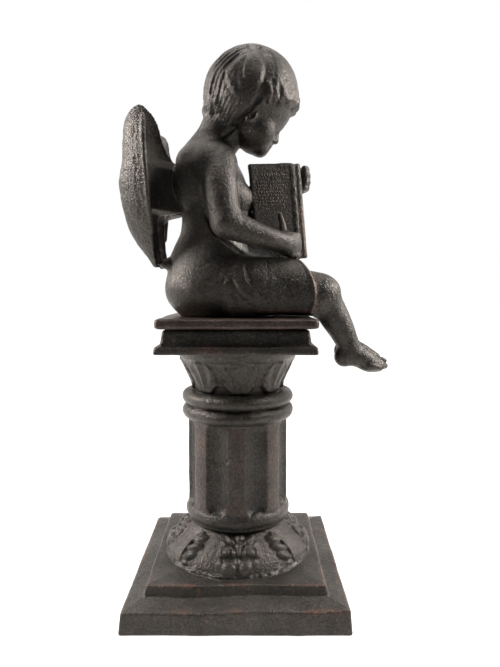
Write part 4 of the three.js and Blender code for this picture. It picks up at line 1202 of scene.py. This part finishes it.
def book_strokes():
    """Rows of small raised dashes on the near cover, standing for lettering."""
    lean, yaw = 0.09, 0.30
    base = np.array([37.0, -3.0, 183.6])
    up = np.array([-math.sin(lean), 0, math.cos(lean)])
    back = np.array([-math.cos(lean), 0, -math.sin(lean)])
    along = back * math.cos(yaw) + np.array([0, -1, 0]) * math.sin(yaw)
    out = -back * math.sin(yaw) + np.array([0, -1, 0]) * math.cos(yaw)
    rng = np.random.RandomState(RNG_SEED)
    V, T = [], []
    quad = [(0, 1, 2, 3), (7, 6, 5, 4), (0, 4, 5, 1), (1, 5, 6, 2), (2, 6, 7, 3), (3, 7, 4, 0)]

    def dash(a, t, ha, ht, tilt):
        c, s_ = math.cos(tilt), math.sin(tilt)
        n0 = sum(len(q) for q in V)
        rows = []
        for n, k in ((1.2, 1.0), (1.75 + 0.20, 0.72)):
            for da, dt in ((-1, -1), (1, -1), (1, 1), (-1, 1)):
                x, y = da * ha * k, dt * ht * k
                p = base + along * (a + x * c - y * s_) + up * (t + x * s_ + y * c) + out * n
                rows.append(p)
        V.append(np.array(rows))
        for q in quad:
            T.append((n0 + q[0], n0 + q[1], n0 + q[2]))
            T.append((n0 + q[0], n0 + q[2], n0 + q[3]))

    a = 7.2
    while a < 21.6:
        dash(a, 45.7 + rng.uniform(-0.1, 0.1), 0.32, rng.uniform(0.75, 1.0), rng.uniform(-0.25, 0.25))
        a += rng.uniform(1.0, 1.7)
    for i in range(8):
        t = 42.0 - 1.72 * i
        a, end = 9.4 + rng.uniform(-0.5, 0.6), 24.0 + rng.uniform(-1.2, 0.6)
        while a < end:
            w = rng.uniform(0.22, 0.75)
            dash(a + w, t + rng.uniform(-0.06, 0.06), w, rng.uniform(0.3, 0.46), rng.uniform(-0.12, 0.12))
            a += 2 * w + rng.uniform(0.25, 0.7)
    v, t = np.vstack(V), np.array(T)
    # faces point outwards
    mid = v[t].mean(1)
    cen = np.repeat(np.array([q.mean(0) for q in V]), 12, 0)
    nrm = np.cross(v[t[:, 1]] - v[t[:, 0]], v[t[:, 2]] - v[t[:, 0]])
    bad = ((mid - cen) * nrm).sum(1) < 0
    t[bad] = t[bad][:, ::-1]
    return v, t


def build_angel():
    h = 0.62
    f = Field((-66, -44, 118), (92, 44, 304), h)
    add_torso(f)
    add_flap(f)
    add_legs(f)
    add_arms(f)
    add_head(f)
    add_hair(f)
    add_cloth(f)
    add_wings(f)
    add_book(f)
    # the flat seat on the slab
    cut, X, Y, Z = f.window((-66, -44, 118), (41.6, 44, 156))
    f.d[cut] = smax(f.d[cut], np.minimum(SEAT - Z, 41.0 - X).astype(F4), 0.4)

    def skin(v):
        x, y, z = v.T
        wing = sstep(-42.5, -45.5, x) * sstep(178, 184, z) * (1 - sstep(247, 252, z))
        out = wing * (0.12 * value_noise(v * np.array([1, 1, 0.5]), 1.5, 77) + 0.05 * value_noise(v, 2.6, 78))
        # curls along the brow and rough tufts at the nape
        brow = sstep(12.5, 15.5, x) * sstep(260.5, 263, z) * (1 - sstep(271, 275, z))
        out = out + brow * (0.45 * value_noise(v * np.array([1, 1, 0.5]), 2.3, 79) + 0.25 * value_noise(v, 1.4, 80))
        nape = (1 - sstep(-12, -6, x)) * sstep(253, 258, z) * (1 - sstep(268, 275, z)) * sstep(-26, -22, x)
        out = out + nape * (0.42 * value_noise(v * np.array([1, 1, 0.6]), 1.9, 81))
        return out

    def red(v, n):
        x, y, z = v.T
        near = y < -4
        hem = line_d(x, z, np.array([(32.4, 182.3), (37.5, 177.9), (40.6, 170.3), (41.3, 163.9), (40.4, 156.0), (31.8, 155.0), (21.7, 155.0), (11.6, 155.2)]))
        m = np.exp(-((hem / 1.2) ** 2)) * (np.abs(y) > 6) * (np.abs(y) > 10 - (z - 155) * 0.2)
        wide = 0.45 * sstep(0.0, 0.5, value_noise(v, 6.0, 41)) * (1 - sstep(157, 162, z)) * sstep(12, 18, x) * (1 - sstep(41, 43, x)) * near
        thumb = np.exp(-(((x - 23.6) / 3.0) ** 2 + ((y + 14.4) / 3.0) ** 2 + ((z - 203.0) / 4.5) ** 2))
        spine = np.exp(-(((x - (37.6 - 0.09 * (z - 183.6))) / 2.0) ** 2)) * (z < 212) * (z > 183) * (np.abs(y) < 7)
        return np.maximum(m * 0.9, wide * (z > 153)) + thumb * near + 0.55 * spine

    # painted light: the front-facing web under the forearm lies in the forearm's shade and is painted pale grey as if
    # lit
    def pale(v, n):
        x, y, z = v.T
        over = np.interp(x, [-3.4, -0.8, 7.0, 16.2, 19.4], [192.4, 191.8, 188.6, 187.6, 183.9])
        under = np.interp(x, [-3.4, -0.1, 5.7, 9.6, 19.4], [192.0, 189.2, 184.7, 183.1, 183.7])
        web = sstep(-4, -3, x) * (1 - sstep(19, 20, x)) * sstep(-0.6, 0.4, over - z) * sstep(-0.6, 0.4, z - under)
        return 0.85 * web * sstep(-25, -23, y) * (1 - sstep(-10, -7, y)) * sstep(0.3, -0.2, n[:, 1])

    # painted shade: the near cover's front face, turned away from the lamps, is painted darker
    def dim(v, n):
        x, y, z = v.T
        cover = sstep(8, 12, x) * (1 - sstep(34.0, 36.0, x + 0.09 * (z - 183.6))) * sstep(192, 200, z) * (1 - sstep(-4.4, -2.6, y)) * sstep(-17.0, -15.0, y)
        return 0.75 * cover * sstep(-0.6, -0.85, n[:, 1])

    return cast(
        f, "angel_casting", "root", "angel", angel_iron, 192000,
        rough=((9, 0.14), (3.4, 0.07)), seed=11, extra=skin, bits=book_strokes(),
        marks={"red": red, "pale": pale, "dim": dim},
    )


build_base()
build_column()
build_slab()
build_angel()

# --------------------------------------------------------------------------
# stage, light, camera
# --------------------------------------------------------------------------
def plain(name, color, rough, glow=0.0):
    m = bpy.data.materials.new(name)
    m.use_nodes = True
    b = m.node_tree.nodes["Principled BSDF"]
    b.inputs["Base Color"].default_value = (*color, 1)
    b.inputs["Roughness"].default_value = rough
    if glow:
        b.inputs["Emission Color"].default_value = (1, 1, 1, 1)
        b.inputs["Emission Strength"].default_value = glow
    return m


bpy.ops.mesh.primitive_plane_add(size=12, location=(0, 0, 0))
floor = bpy.context.object
floor.name = "floor"
floor_mat = plain("floor_white", (0.46, 0.46, 0.455), 0.7, 0.78)
ft = floor_mat.node_tree
spot = ft.nodes.new("ShaderNodeTexCoord")
sep = ft.nodes.new("ShaderNodeSeparateXYZ")
dim = ft.nodes.new("ShaderNodeMapRange")
dim.interpolation_type = "SMOOTHSTEP"
dim.inputs["From Min"].default_value = -0.45
dim.inputs["From Max"].default_value = -0.07
dim.inputs["To Min"].default_value = 0.05
dim.inputs["To Max"].default_value = 0.78
ft.links.new(spot.outputs["Object"], sep.inputs["Vector"])
ft.links.new(sep.outputs["Y"], dim.inputs["Value"])
ft.links.new(dim.outputs["Result"], ft.nodes["Principled BSDF"].inputs["Emission Strength"])
floor.data.materials.append(floor_mat)

world = bpy.data.worlds.new("studio")
bpy.context.scene.world = world
world.use_nodes = True
bg = world.node_tree.nodes["Background"]
bg.inputs["Color"].default_value = (1.0, 1.0, 1.0, 1)
# bright paper sweep behind the piece, dim room in front of it
wt = world.node_tree
coord = wt.nodes.new("ShaderNodeTexCoord")
split = wt.nodes.new("ShaderNodeSeparateXYZ")
fall = wt.nodes.new("ShaderNodeMapRange")
fall.interpolation_type = "SMOOTHSTEP"
fall.inputs["From Min"].default_value = -0.30
fall.inputs["From Max"].default_value = 0.55
fall.inputs["To Min"].default_value = 0.08
fall.inputs["To Max"].default_value = 1.0
wt.links.new(coord.outputs["Generated"], split.inputs["Vector"])
wt.links.new(split.outputs["Y"], fall.inputs["Value"])
wt.links.new(fall.outputs["Result"], bg.inputs["Strength"])


def area(name, where, at, size, watts, color=(1, 1, 1)):
    data = bpy.data.lights.new(name, "AREA")
    data.shape = "DISK"
    data.size = size
    data.energy = watts
    data.color = color
    o = bpy.data.objects.new(name, data)
    bpy.context.scene.collection.objects.link(o)
    o.location = where
    from mathutils import Vector

    o.rotation_euler = (Vector(at) - Vector(where)).to_track_quat("-Z", "Y").to_euler()
    return o


area("left", (-0.75, 0.03, 0.50), (0, 0, 0.18), 0.36, 12, (1.0, 0.975, 0.95))
area("right", (0.75, 0.05, 0.55), (0, 0, 0.2), 0.36, 12.5, (1.0, 0.975, 0.95))
area("top", (0.0, 0.0, 0.95), (0, 0, 0.15), 0.6, 4.5)

cam_data = bpy.data.cameras.new("camera")
cam = bpy.data.objects.new("camera", cam_data)
bpy.context.scene.collection.objects.link(cam)
cam.location = (0.007024, -0.30686, 0.16655)
cam.rotation_euler = (math.pi / 2 - 0.08, 0, 0)
cam_data.sensor_fit = "AUTO"
cam_data.sensor_width = 36.0
cam_data.lens = 544.835 * 36.0 / 667.0
cam_data.clip_start = 0.01
cam_data.dof.use_dof = False
bpy.context.scene.camera = cam
bpy.context.scene.view_settings.view_transform = "Standard"
